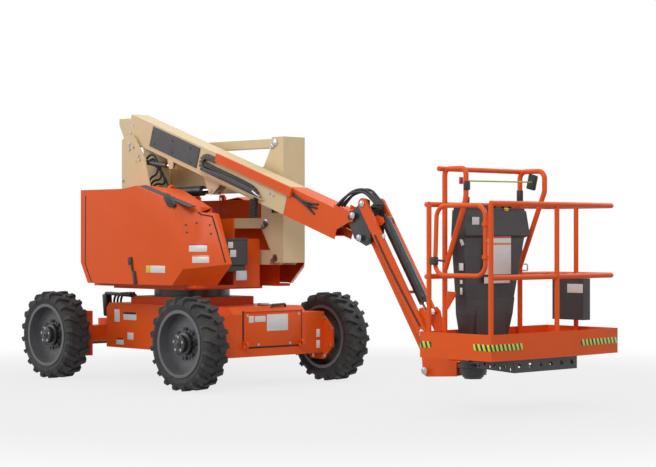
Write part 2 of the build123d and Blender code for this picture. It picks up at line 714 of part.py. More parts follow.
def main_boom():
    """The base section: a box tube, its foot ears, and its lugs for the cylinders."""
    rear, front = along_boom(boom_rear_reach + 160), along_boom(boom_front_reach)
    tube = Pos((rear + front) / 2, 0, 0) * Box(front - rear, boom_width, boom_depth)
    tube -= Pos((rear + 60 + front) / 2 + 40, 0, 0) * Box(
        front - rear - 60 + 80, boom_width - 2 * boom_wall, boom_depth - 2 * boom_wall)
    boom = boom_frame() * tube
    px, pz = boom_pivot
    ear = [(px - 55, pz - 40), (px - 20, pz - 60), (px + 45, pz - 45), (px + 190, pz + 20), (px + 190, pz + 140),
           (px - 40, pz + 250), (px - 190, pz + 250), (px - 190, pz + 190)]
    for y in ((-boom_width / 2, -boom_width / 2 + 16), (boom_width / 2 - 16, boom_width / 2)):
        boom += side_form(ear, y)
    boom += side_form([(px - 190, pz + 190), (px - 60, pz + 190), (px - 60, pz + 250), (px - 190, pz + 250)],
                      (-boom_width / 2, boom_width / 2))
    hx, hz = lift_cylinder_head
    lug = [(hx - 50, hz + 10), (hx - 20, hz - 42), (hx + 20, hz - 42), (hx + 150, hz + 60), (hx + 150, hz + 120), (hx - 130, hz + 190)]
    for y in ((lift_y - 52, lift_y - 40), (lift_y + 40, lift_y + 52)):
        boom += side_form(lug, y) - boom_frame() * Pos(hx, 0, 0) * Box(
            900, boom_width - 2 * boom_wall, boom_depth - 2 * boom_wall)
    boom += pin_ends(lift_cylinder_head, boom_pin_radius - 3, lift_y, 40, 60)
    cx, cz = level_cylinder_head
    clevis = [(cx - 26, cz - 26), (cx + 26, cz - 26), (cx + 40, cz + 70), (cx - 60, cz + 90)]
    for y in ((-boom_width / 2, -boom_width / 2 + 6), (level_y + 18, level_y + 26)):
        boom += side_form(clevis, y) - boom_frame() * Box(900, boom_width - 2 * boom_wall, boom_depth - 2 * boom_wall)
    boom += cross_pin(level_cylinder_head, 12, (-boom_width / 2, -boom_width / 2 + 6))
    boom += cross_pin(level_cylinder_head, 12, (level_y + 18, level_y + 28))
    boom -= cross_pin(boom_pivot, boom_pin_radius + shaft_clearance, (-140, 140))
    pad_start, pad_end = front - 90, front - 20
    for z in (-1, 1):
        inner, outer = fly_depth / 2 + running_gap, boom_depth / 2 - boom_wall
        boom += boom_frame() * Pos((pad_start + pad_end) / 2, 0, z * (inner + outer) / 2) * Box(
            pad_end - pad_start, 120, outer - inner)
    foot = chain_height - chain_bend
    tray = Pos((along_boom(chain_start) + along_boom(chain_end + 30)) / 2, -boom_width / 2 - 19, foot - 3) * Box(
        along_boom(chain_end + 30) - along_boom(chain_start), 38, 6)
    boom += boom_frame() * tray
    return boom


def boom_cover():
    """The bolted black side plate over the hose opening."""
    start, end = along_boom(-480), along_boom(210)
    cover = Pos((start + end) / 2, -boom_width / 2 - 4, 12) * Box(end - start, 8, 190)
    return boom_frame() * cover


def energy_chain():
    """The looped cable carrier beside the boom: links along two runs and round the bend."""
    start, end = along_boom(chain_start), along_boom(chain_end)
    middle_y = -boom_width / 2 - chain_gap - chain_width / 2
    centre = chain_height
    loop = None
    for side, reach in ((1, end - 40), (-1, end)):
        at = centre + side * (chain_bend - chain_link_depth / 2)
        core = Pos((start + reach) / 2, middle_y, at) * Box(reach - start, chain_width - 8, chain_link_depth - 8)
        loop = core if loop is None else loop + core
        for i in range(int((reach - start) / chain_pitch)):
            loop += Pos(start + (i + 0.5) * chain_pitch, middle_y, at) * Box(chain_pitch - 7, chain_width, chain_link_depth)
    ring = Cylinder(chain_bend - 4, chain_width - 8) - Cylinder(chain_bend - chain_link_depth + 4, chain_width)
    ring &= Pos(-chain_bend, 0, 0) * Box(2 * chain_bend, 4 * chain_bend, chain_width)
    loop += Pos(start, middle_y, centre) * Rot(90, 0, 0) * ring
    for i in range(chain_bend_links):
        angle = 90 + 180 * (i + 0.5) / chain_bend_links
        link = Rot(0, -angle, 0) * Pos(chain_bend - chain_link_depth / 2, 0, 0) * Box(chain_link_depth, chain_width, 20)
        loop += Pos(start, middle_y, centre) * link
    foot = centre - chain_bend + chain_link_depth / 2
    loop += Pos(end - 30, -boom_width / 2 - (chain_gap + 4) / 2, foot) * Box(60, chain_gap + 4, chain_link_depth - 8)
    return boom_frame() * loop


def fly_boom():
    """The telescoping section with its larger nose and the ears for the levelling bracket."""
    tail, neck = along_boom(boom_rear_reach + 420), along_boom(boom_front_reach) + 8
    end = along_boom(nose_reach)
    tube = Pos((tail + neck + 40) / 2, 0, 0) * Box(neck + 40 - tail, fly_width, fly_depth)
    tube -= Pos((tail + neck) / 2, 0, 0) * Box(neck + 400 - tail, fly_width - 12, fly_depth - 12)
    nose = Pos((neck + end) / 2, 0, 0) * Box(end - neck, nose_width, nose_depth)
    nose -= Pos((neck + 30 + end + 40) / 2, 0, 0) * Box(end + 40 - neck - 30, nose_width - 16, nose_depth - 16)
    nose -= Pos(neck + 10, 0, 0) * Box(120, fly_width - 12, fly_depth - 12)
    slot_start = in_boom(nose_pin)[0] - 208
    nose -= Pos((slot_start + end + 10) / 2, 0, -nose_depth / 2) * Box(end + 10 - slot_start, nose_width - 16, 60)
    fly = boom_frame() * (tube + nose)
    nx, nz = nose_pin
    ear = [(nx - 190, nz - 110), (nx - 30, nz - 44), (nx + 30, nz - 36), (nx + 40, nz + 10), (nx + 10, nz + 40), (nx - 190, nz + 110)]
    for y in ((-nose_width / 2, -nose_width / 2 + 14), (nose_width / 2 - 14, nose_width / 2)):
        fly += side_form(ear, y)
    fly -= cross_pin(nose_pin, jib_pin_radius + 4 + shaft_clearance, (-150, 150))
    bar_tail, bar_nose = along_boom(bar_start), neck + 60
    bar_y = -boom_width / 2 - bar_gap - bar_thickness / 2
    fly += boom_frame() * Pos((bar_tail + bar_nose) / 2, bar_y, bar_height) * Box(bar_nose - bar_tail, bar_thickness, bar_depth)
    spacer = bar_gap + boom_width / 2 - nose_width / 2 + 2
    fly += boom_frame() * Pos(neck + 35, -nose_width / 2 - spacer / 2 + 1, bar_height - 10) * Box(50, spacer + 2, bar_depth - 24)
    tail_pad = Pos(tail + 60, 0, 0) * Box(80, boom_width - 2 * boom_wall - 2 * running_gap, 90)
    tail_pad -= Pos(tail + 60, 0, 0) * Box(90, fly_width - 12, 100)
    fly += boom_frame() * tail_pad
    return fly


def slave_rod():
    """The rod of the levelling cylinder that lies inside the fly's nose."""
    eye = in_boom(slave_pin)
    start = along_boom(nose_reach) - 420
    body = Pos((start + eye[0] - 18) / 2, 0, eye[1]) * Rot(0, 90, 0) * Cylinder(16, eye[0] - 18 - start)
    body += Pos(eye[0], 0, eye[1]) * Rot(90, 0, 0) * Cylinder(28, 44)
    body += Pos(eye[0], 0, eye[1]) * Rot(90, 0, 0) * Cylinder(14, 44 + 2 * pin_over_eye)
    return boom_frame() * body


def slave_barrel():
    """The levelling cylinder's barrel inside the fly's nose."""
    axis = in_boom(slave_pin)[1]
    start, end = along_boom(nose_reach) - 720, along_boom(nose_reach) - 40
    body = Pos((start + end) / 2, 0, axis) * Rot(0, 90, 0) * Cylinder(32, end - start)
    body -= Pos((start + 30 + end + 10) / 2, 0, axis) * Rot(0, 90, 0) * Cylinder(17, end + 10 - start - 30)
    tube_bottom = fly_depth / 2 - 6
    foot = axis - 28
    body += Pos(start + 16, 0, (foot - tube_bottom) / 2) * Box(30, 50, foot + tube_bottom)
    return boom_frame() * body


# ---------------------------------------------------------------- jib and brackets
def level_bracket():
    """Black plates that turn on the fly's nose and stay level."""
    nx, nz = nose_pin
    sx, sz = slave_pin
    jx, jz = jib_pin
    lx, lz = jib_link_pin
    outline = [(nx - 42, nz + 20), (nx - 30, nz - 40), (sx - 40, sz - 30), (lx - 20, lz - 48), (lx + 30, lz - 30),
               (lx + 30, lz + 60), (jx + 56, jz - 60), (jx + 46, jz + 30), (jx, jz + 44), (nx + 20, nz + 60)]
    inner = nose_width / 2 - 14 - 6
    bracket = None
    for y in ((-inner, -inner + 10), (inner - 10, inner)):
        cheek = side_form(outline, y)
        bracket = cheek if bracket is None else bracket + cheek
    bracket += block((jx - 120, jx - 50), (-inner, inner), (jz - 40, jz - 28))
    bracket += cross_pin(nose_pin, jib_pin_radius + 4, (-nose_width / 2 - 6, nose_width / 2 + 6))
    bracket += pin_ends(slave_pin, 14, 0, 28, inner + 4)
    for side in (-1, 1):
        bracket += cross_pin(jib_pin, jib_pin_radius, sorted((side * (inner - 10), side * (jib_half_width + 2))))
    bracket += cross_pin(jib_link_pin, jib_pin_radius, (-inner - 4, inner + 4))
    return bracket


jib_bracket_half = nose_width / 2 - 20
jib_cylinder_foot_along = 215.0
jib_cylinder_foot_off = 60.0
jib_foot = (jib_pin[0] + (jib_reach[0] * jib_cylinder_foot_along - jib_reach[1] * jib_cylinder_foot_off) / jib_length,
            jib_pin[1] + (jib_reach[1] * jib_cylinder_foot_along + jib_reach[0] * jib_cylinder_foot_off) / jib_length)
jib_head = (bracket_pin[0] - 30.0, bracket_pin[1] + 160.0)


def jib_arm():
    """Two box tubes side by side, joined by cross tubes and the cylinder's clevis."""
    length = jib_length
    inner = jib_half_width - jib_tube_width + 17
    frame = None
    for side in (-1, 1):
        y = side * (jib_half_width - 12.5)
        tube = Pos(length / 2, y, 0) * Box(length, 25, jib_tube_depth)
        for x in (0, length):
            tube += Pos(x, y, 0) * Rot(90, 0, 0) * Cylinder(jib_tube_depth / 2, 25)
        frame = tube if frame is None else frame + tube
    for x, z, r in ((160, 8, 14), (length - 390, -16, 12)):
        frame += Pos(x, 0, z) * Rot(90, 0, 0) * Cylinder(r, 2 * jib_half_width - 20)
    for side in (-1, 1):
        lug = [(130, -4), (190, -4), (244, 40), (242, 84), (200, 92), (150, 50)]
        frame += side_form(lug, (side * 60 - 5, side * 60 + 5))
    frame += Pos(jib_cylinder_foot_along, 0, jib_cylinder_foot_off) * Rot(90, 0, 0) * Cylinder(16, 134)
    for x in (0, length):
        frame -= Pos(x, 0, 0) * Rot(90, 0, 0) * Cylinder(jib_pin_radius + shaft_clearance, 300)
    return toward(jib_pin, bracket_pin) * frame


def jib_link():
    """The lower tube of the jib's parallelogram."""
    length = jib_length
    bar = Pos(length / 2, 0, 0) * Box(length, 60, 50)
    for x in (0, length):
        bar += Pos(x, 0, 0) * Rot(90, 0, 0) * Cylinder(34, 60)
    for x in (0, length):
        bar -= Pos(x, 0, 0) * Rot(90, 0, 0) * Cylinder(jib_pin_radius + shaft_clearance, 100)
    return toward(jib_link_pin, bracket_link_pin) * bar


def platform_bracket():
    """The orange bracket at the jib's lower end that carries the rotator."""
    kx, kz = bracket_pin
    lx, lz = bracket_link_pin
    gx, gz = jib_head
    outline = [(lx - 45, lz - 30), (lx, lz - 48), (rotator_x - 95, 220), (rotator_x - 95, 332), (rotator_x - 200, 345),
               (kx + 60, kz + 20), (gx + 44, gz + 10), (gx + 10, gz + 42), (gx - 30, gz + 30), (kx - 48, kz)]
    inner = jib_half_width - 25 - 5
    bracket = None
    for y in ((-inner, -inner + 10), (inner - 10, inner)):
        cheek = side_form(outline, y)
        bracket = cheek if bracket is None else bracket + cheek
    bracket += block((rotator_x - 175, rotator_x - 95), (-inner, inner), (224, 330))
    for side in (-1, 1):
        bracket += cross_pin(bracket_pin, jib_pin_radius, sorted((side * (inner - 10), side * (jib_half_width + 2))))
    bracket += cross_pin(bracket_link_pin, jib_pin_radius, (-inner - 4, inner + 4))
    bracket += pin_ends(jib_head, 16, 0, 36, inner)
    return bracket - upright_pin((rotator_x, 0), rotator_radius, (100, 500))


def rotator():
    body = upright_pin((rotator_x, 0), rotator_radius, (236, 336))
    body += upright_pin((rotator_x, 0), 70, (rotator_bottom, 236))
    return body


# ---------------------------------------------------------------- platform
def underframe():
    """The black frame under the floor: turning head, two slanting arms and a crossbeam, drilled to save weight."""
    beam_x = platform_front - 130
    low, high = 306.0, floor_bottom
    frame = upright_pin((rotator_x, 0), rotator_radius - 4, (336 + running_gap, rotator_top))
    for s in (-1, 1):
        arm = [(rotator_x - 20, s * 60), (rotator_x + 60, s * 100), (beam_x, s * 372), (beam_x, s * 360), (rotator_x + 90, s * 84)]
        frame += plan_form(arm, (336 + running_gap, rotator_top))
        frame += plan_form([(platform_rear + 60, s * 172), (beam_x + 8, s * 372), (beam_x + 8, s * 362), (platform_rear + 60, s * 162)],
                           (low, high))
    frame += block((beam_x, beam_x + 8), (-372, 372), (low, high))
    frame += block((beam_x, beam_x + 60), (-372, 372), (high - 8, high))
    frame += plan_form([(rotator_x, -95), (platform_rear + 30, -140), (platform_rear + 30, 140), (rotator_x, 95)],
                       (rotator_top - 12, rotator_top))
    frame += block((platform_rear + 30, platform_rear + 90), (-300, 300), (rotator_top - 40, high))
    middle = (low + high) / 2
    spacing = 2 * 372 / beam_holes
    for i in range(beam_holes):
        y = -372 + spacing * (i + 0.5)
        frame -= Pos(beam_x, y, middle) * Rot(0, 90, 0) * Cylinder(beam_hole_radius, 60)
    start, end = (platform_rear + 100, 172 + 40 * 0.38), (beam_x - 50, 352)
    for s in (-1, 1):
        for i in range(arm_holes):
            t = i / (arm_holes - 1)
            x, y = start[0] + (end[0] - start[0]) * t, start[1] + (end[1] - start[1]) * t
            row = middle - 14 if i % 2 else middle - 30
            frame -= Pos(x, s * y, row) * Rot(90, 0, 0) * Cylinder(arm_hole_radius, 60)
    return frame


def floor_outline(inset):
    x0, x1, y = platform_rear + inset, platform_front - inset, platform_half_width - inset
    crown = platform_crown
    return [(x0, -y), (x1 - crown, -y), (x1, -y * 0.45), (x1, y * 0.45), (x1 - crown, y), (x0, y)]


def platform_floor():
    """Floor plate with a toe board all round."""
    base = plan_form(floor_outline(0), (floor_bottom, floor_bottom + toe_board))
    base -= plan_form(floor_outline(toe_wall), (floor_bottom + floor_thickness, floor_bottom + toe_board + 1))
    return base


gate_radius = 17.0
gate_hinge = (platform_front - 97.0, -(platform_half_width - toe_wall - rail_radius - running_gap))


def rails():
    """Rails, posts and the console's guard."""
    inset = toe_wall + rail_radius + running_gap
    x0, x1 = platform_rear + inset, platform_front - inset
    y0 = platform_half_width - inset
    base = floor_bottom + floor_thickness
    corner = platform_crown + 1
    low, high = floor_bottom + mid_rail_height, floor_bottom + top_rail_height
    posts = [(x1 - corner, -y0), (x0 + 42, -y0), (x1, 10), (document_middle, y0)]
    cage = None
    for x, y in posts:
        post = upright_pin((x, y), rail_radius - 1, (base, high))
        cage = post if cage is None else cage + post
    for z in (low, high):
        loop = [(x1 - corner, -y0, z), (x1, -y0 * 0.45, z), (x1, y0 * 0.45, z), (x1 - corner, y0, z), (x0, y0, z), (x0, -y0, z),
                (x0 + 42, -y0, z)]
        cage += tube_run(loop, 36)
    guard = floor_bottom + guard_height
    for y in (-500, 380):
        cage += tube_run([(x0, y, base), (x0, y, guard), (x0 + 250, y, guard), (x0 + 250, y, guard - 160), (x0, y, low + 60)], 60)
    cage += tube_run([(x0, -570, guard), (x0, 450, guard)], 0, rail_radius - 1)
    gx, gy = gate_hinge
    for z in (low + 150, high - 150):
        eye = upright_pin((gx, gy), gate_radius + 9, (z - 14, z + 14))
        eye += block((gx, x1 - corner), (gy - 6, gy + 6), (z - 14, z + 14))
        cage += eye - upright_pin((gx, gy), gate_radius + shaft_clearance, (z - 15, z + 15))
    return cage


def gate():
    """The rounded entry gate on the platform's right end, about its hinge tube."""
    hx, hy = gate_hinge
    far = platform_rear + 148
    low, high = floor_bottom + mid_rail_height + 12, floor_bottom + top_rail_height - 12
    loop = [(hx, hy, (low + high) / 2), (hx, hy, high), (far, hy, high), (far - 20, hy, low), (hx, hy, low), (hx, hy, (low + high) / 2 - 1)]
    return tube_run(loop, 90, gate_radius)


def console():
    """Moulded control pedestal against the platform's rear rails: foot, waist, body and sloping head."""
    x0 = platform_rear + toe_wall + 2 * rail_radius + 2 * running_gap
    base = floor_bottom + floor_thickness
    sections = (
        # near low, far low, near high, far high, from, to, depth low, depth high
        (-330, 60, -400, 130, 0, 300, 92, 118),
        (-400, 130, -405, 150, 300, 420, 118, 118),
        (-405, 150, -450, 250, 420, 880, 112, 132),
        (-450, 250, -452, 300, 880, 900, 132, 150),
        (-452, 300, -440, 285, 900, 1090, 150, 122),
    )
    body = None
    for near_low, far_low, near_high, far_high, low, high, depth_low, depth_high in sections:
        face = end_form([(near_low, base + low), (far_low, base + low), (far_high, base + high), (near_high, base + high)], (x0, x0 + 200))
        face &= side_form([(x0, base + low), (x0 + depth_low, base + low), (x0 + depth_high, base + high), (x0, base + high)], (-600, 600))
        body = face if body is None else body + face
    lid = block((x0 + 6, x0 + 112), (-432, 278), (base + 1086, base + 1108))
    cover = block((x0 + 100, x0 + 122), (-300, 40), (base + 40, base + 330))
    return body + lid + (cover - side_form([(x0 + 112, base), (x0 + 200, base), (x0 + 200, base + 290)], (-600, 600)))


def document_box():
    y1 = platform_half_width - toe_wall - 2 * rail_radius - 2 * running_gap
    x0, x1 = document_middle - document_width / 2, document_middle + document_width / 2
    box = block((x0, x1), (y1 - document_depth, y1), (662, 988))
    for x in (x0 + 40, x1 - 70):
        box += block((x, x + 30), (y1 - 6, y1), (980, floor_bottom + mid_rail_height + 8))
    return box


# ---------------------------------------------------------------- the whole machine
def wheel_nodes():
    nodes = {}
    places = {"front_right": (axle_x, -1), "front_left": (axle_x, 1), "rear_right": (-axle_x, -1), "rear_left": (-axle_x, 1)}
    for name, (x, side) in places.items():
        at = Pos(x, side * wheel_y, wheel_radius)
        nodes["tyre_" + name] = [at * tyre()]
        nodes["rim_" + name] = [at * rim(side)]
        nodes["hub_" + name] = [at * s for s in hub(side)]
    return nodes


def tower_cylinder_nodes():
    foot, head = tower_cylinder_head, tower_cylinder_foot
    return {
        "tower_cylinder": [barrel(foot, head, tower_rod_showing, 36, 18, 18, tower_middle)],
        "tower_cylinder_rod": [rod(foot, head, 60, 18, 18, 34, 60, tower_middle)],
    }


def nodes():
    parts = {
        "chassis_frame": [chassis_frame()],
        "drive_axle": [drive_axle()],
        "steer_axle": [steer_axle()],
        "slew_ring": [slew_ring()],
        "steering_knuckle_right": [knuckle(-1)],
        "steering_knuckle_left": [knuckle(1)],
        "tie_rod": [tie_rod()],
        "turret_frame": [turret_frame()],
        "hood_right": [hood(hood_inner_right, hood_top_right, hood_hinge_right)],
        "hood_left": [mirror(hood(hood_inner_left, hood_top_left, hood_hinge_left), Plane.XZ)],
        "counterweight": [counterweight()],
        "power_block": [power_block()],
        "ground_control_box": [control_box()],
        "lower_arm": [lower_arm()],
        "lower_link": [lower_link()],
        "mid_upright": [mid_upright()],
        "upper_arm": [upper_arm()],
        "upper_link": [upper_link()],
        "upper_upright": [upper_upright()],
        "main_boom": [main_boom()],
        "boom_cover": [boom_cover()],
        "energy_chain": [energy_chain()],
        "lift_cylinder": [barrel(lift_cylinder_foot, lift_cylinder_head, lift_rod_showing, lift_barrel_radius, 25, boom_pin_radius, lift_y)],
        "lift_cylinder_rod": [rod(lift_cylinder_foot, lift_cylinder_head, 80, 25, boom_pin_radius - 3, 42, 70, lift_y)],
        "level_cylinder": [barrel(level_cylinder_foot, level_cylinder_head, level_rod_showing, level_barrel_radius, 13, 14, level_y)],
        "level_cylinder_rod": [rod(level_cylinder_foot, level_cylinder_head, 60, 13, 12, 24, 20, level_y)],
        "fly_boom": [fly_boom()],
        "slave_cylinder": [slave_barrel()],
        "slave_cylinder_rod": [slave_rod()],
        "level_bracket": [level_bracket()],
        "jib_arm": [jib_arm()],
        "jib_link": [jib_link()],
        "jib_cylinder": [barrel(jib_foot, jib_head, jib_rod_showing, 43, 18, 16)],
        "jib_cylinder_rod": [rod(jib_foot, jib_head, 78, 18, 16, 32, 60)],
        "platform_bracket": [platform_bracket()],
        "rotator": [rotator()],
        "underframe": [underframe()],
        "platform_floor": [platform_floor()],
        "platform_rails": [rails()],
        "platform_gate": [gate()],
        "control_console": [console()],
        "document_box": [document_box()],
    }
    parts.update(wheel_nodes())
    parts.update(tower_cylinder_nodes())
    return parts


if __name__ == "__main__":
    os.makedirs("parts", exist_ok=True)
    for name, shapes in nodes().items():
        solids = [s for shape in shapes for s in shape.solids()]
        whole = Compound(children=[Pos(origin_shift, 0, 0) * s for s in solids])
        export_step(whole, f"parts/{name}.step")
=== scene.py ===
"""Dresses an articulating boom lift: paint, fasteners, hoses, hazard tape, labels and controls."""
import json
import logging
import math
from dataclasses import dataclass, field
from enum import Enum
from typing import Callable, Iterable, Sequence

import bpy
from mathutils import Euler, Matrix, Vector

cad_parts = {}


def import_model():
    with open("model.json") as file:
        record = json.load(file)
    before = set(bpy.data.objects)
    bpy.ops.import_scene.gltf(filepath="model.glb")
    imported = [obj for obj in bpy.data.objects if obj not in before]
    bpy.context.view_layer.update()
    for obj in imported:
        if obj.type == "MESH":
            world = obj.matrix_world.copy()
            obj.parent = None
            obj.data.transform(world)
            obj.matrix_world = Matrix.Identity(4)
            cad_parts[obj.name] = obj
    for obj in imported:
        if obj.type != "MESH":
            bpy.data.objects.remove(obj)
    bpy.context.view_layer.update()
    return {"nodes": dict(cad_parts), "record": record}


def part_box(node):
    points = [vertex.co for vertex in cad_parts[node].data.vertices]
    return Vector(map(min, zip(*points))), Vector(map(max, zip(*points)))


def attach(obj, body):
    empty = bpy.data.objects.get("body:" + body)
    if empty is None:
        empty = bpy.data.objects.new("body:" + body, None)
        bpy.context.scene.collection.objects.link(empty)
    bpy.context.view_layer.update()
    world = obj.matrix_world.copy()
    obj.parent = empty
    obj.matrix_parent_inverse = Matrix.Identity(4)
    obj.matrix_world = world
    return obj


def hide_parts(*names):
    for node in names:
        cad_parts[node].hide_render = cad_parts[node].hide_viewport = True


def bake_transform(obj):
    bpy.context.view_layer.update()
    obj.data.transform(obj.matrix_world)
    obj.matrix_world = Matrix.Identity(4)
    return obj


LOG = logging.getLogger("boom_lift")
Point = tuple[float, float, float]
Colour = tuple[float, float, float]
Value = bpy.types.NodeSocket | float | tuple[float, float, float, float]


class Finish(Enum):
    """The finishes on the machine, by the maker's plain words."""

    ORANGE = "orange_paint"
    CREAM = "cream_paint"
    BLACK = "black_paint"
    GREY = "dark_grey_paint"
    RIM = "rim_paint"
    RUBBER = "tyre_rubber"
    CHROME = "rod_chrome"
    MOULDED = "dark_plastic"
    CHAIN = "chain_plastic"
    IRON = "engine_iron"
    HOSE = "hose_rubber"
    ZINC = "zinc_plate"
    LABEL = "blank_label"
    RED = "red_label"
    AMBER = "amber_label"
    TAPE = "hazard_tape"
    YELLOW = "yellow_cable"
    GRILLE = "grille_mesh"
    # Near-black finish for gaps, seams and the louvre's bed: painted shade.
    PAINTED_SHADE = "shaded_gap"
    BUTTON = "warning_button"


@dataclass(frozen=True)
class Coat:
    """What a finish is made of.

    Sizes of grain are in patterns per metre, on Object coordinates.
    """

    colour: Colour
    roughness: float
    metallic: float = 0.0
    clear: float = 0.0
    tone: float = 0.06
    tone_scale: float = 3.0
    grain: float = 0.0
    grain_scale: float = 300.0
    dust: float = 0.0
    dust_colour: Colour = (0.30, 0.26, 0.20)
    stripe: float = 0.0
    stripe_colour: Colour = (0.01, 0.01, 0.01)
    holes: float = 0.0
    shine: float = 0.5


COATS: dict[Finish, Coat] = {
    Finish.ORANGE: Coat(
        (0.84, 0.105, 0.010), 0.42, clear=0.06, tone=0.07, grain=0.05, grain_scale=420, dust=0.06,
        shine=0.22
    ),
    Finish.CREAM: Coat(
        (0.76, 0.60, 0.36), 0.44, clear=0.06, tone=0.06, grain=0.05, grain_scale=420, dust=0.06, shine=0.22
    ),
    Finish.BLACK: Coat(
        (0.020, 0.020, 0.022), 0.42, clear=0.2, tone=0.25, grain=0.08, grain_scale=500, dust=0.10
    ),
    Finish.GREY: Coat((0.045, 0.045, 0.050), 0.48, tone=0.2, grain=0.08, grain_scale=500, dust=0.12),
    Finish.RIM: Coat(
        (0.13, 0.13, 0.14), 0.38, metallic=0.25, tone=0.12, grain=0.06, grain_scale=380, dust=0.12
    ),
    Finish.RUBBER: Coat(
        (0.028, 0.027, 0.028), 0.74, tone=0.3, tone_scale=9, grain=0.35, grain_scale=160, dust=0.22
    ),
    Finish.CHROME: Coat((0.72, 0.72, 0.74), 0.14, metallic=1.0, tone=0.04, grain=0.02, grain_scale=900),
    Finish.MOULDED: Coat((0.040, 0.041, 0.045), 0.52, tone=0.12, grain=0.30, grain_scale=900, dust=0.06),
    Finish.CHAIN: Coat((0.075, 0.077, 0.085), 0.46, tone=0.18, grain=0.2, grain_scale=700, dust=0.08),
    Finish.IRON: Coat(
        (0.05, 0.05, 0.05), 0.66, metallic=0.3, tone=0.3, grain=0.6, grain_scale=120, dust=0.2
    ),
    Finish.HOSE: Coat((0.018, 0.018, 0.019), 0.50, tone=0.2, grain=0.25, grain_scale=800),
    Finish.ZINC: Coat((0.42, 0.41, 0.44), 0.32, metallic=1.0, tone=0.12, grain=0.06, grain_scale=600),
    Finish.LABEL: Coat((0.76, 0.77, 0.76), 0.30, clear=0.2, tone=0.03, grain=0.02),
    Finish.RED: Coat((0.55, 0.012, 0.012), 0.30, clear=0.2, tone=0.03, grain=0.02),
    Finish.AMBER: Coat((0.80, 0.22, 0.01), 0.30, clear=0.2, tone=0.03, grain=0.02),
    Finish.TAPE: Coat((0.66, 0.80, 0.02), 0.34, clear=0.2, tone=0.03, grain=0.03, stripe=22.0),
    Finish.YELLOW: Coat((0.42, 0.50, 0.05), 0.45, tone=0.08, grain=0.1, grain_scale=900),
    Finish.GRILLE: Coat((0.16, 0.15, 0.17), 0.45, metallic=0.4, tone=0.1, holes=190.0),
    # Painted shade: a near-black coat laid where gaps and creases fall into shadow.
    Finish.PAINTED_SHADE: Coat((0.012, 0.012, 0.013), 0.80, tone=0.1, grain=0.1, grain_scale=300),
    Finish.BUTTON: Coat((0.78, 0.52, 0.03), 0.35, tone=0.05, grain=0.05, grain_scale=600)
}


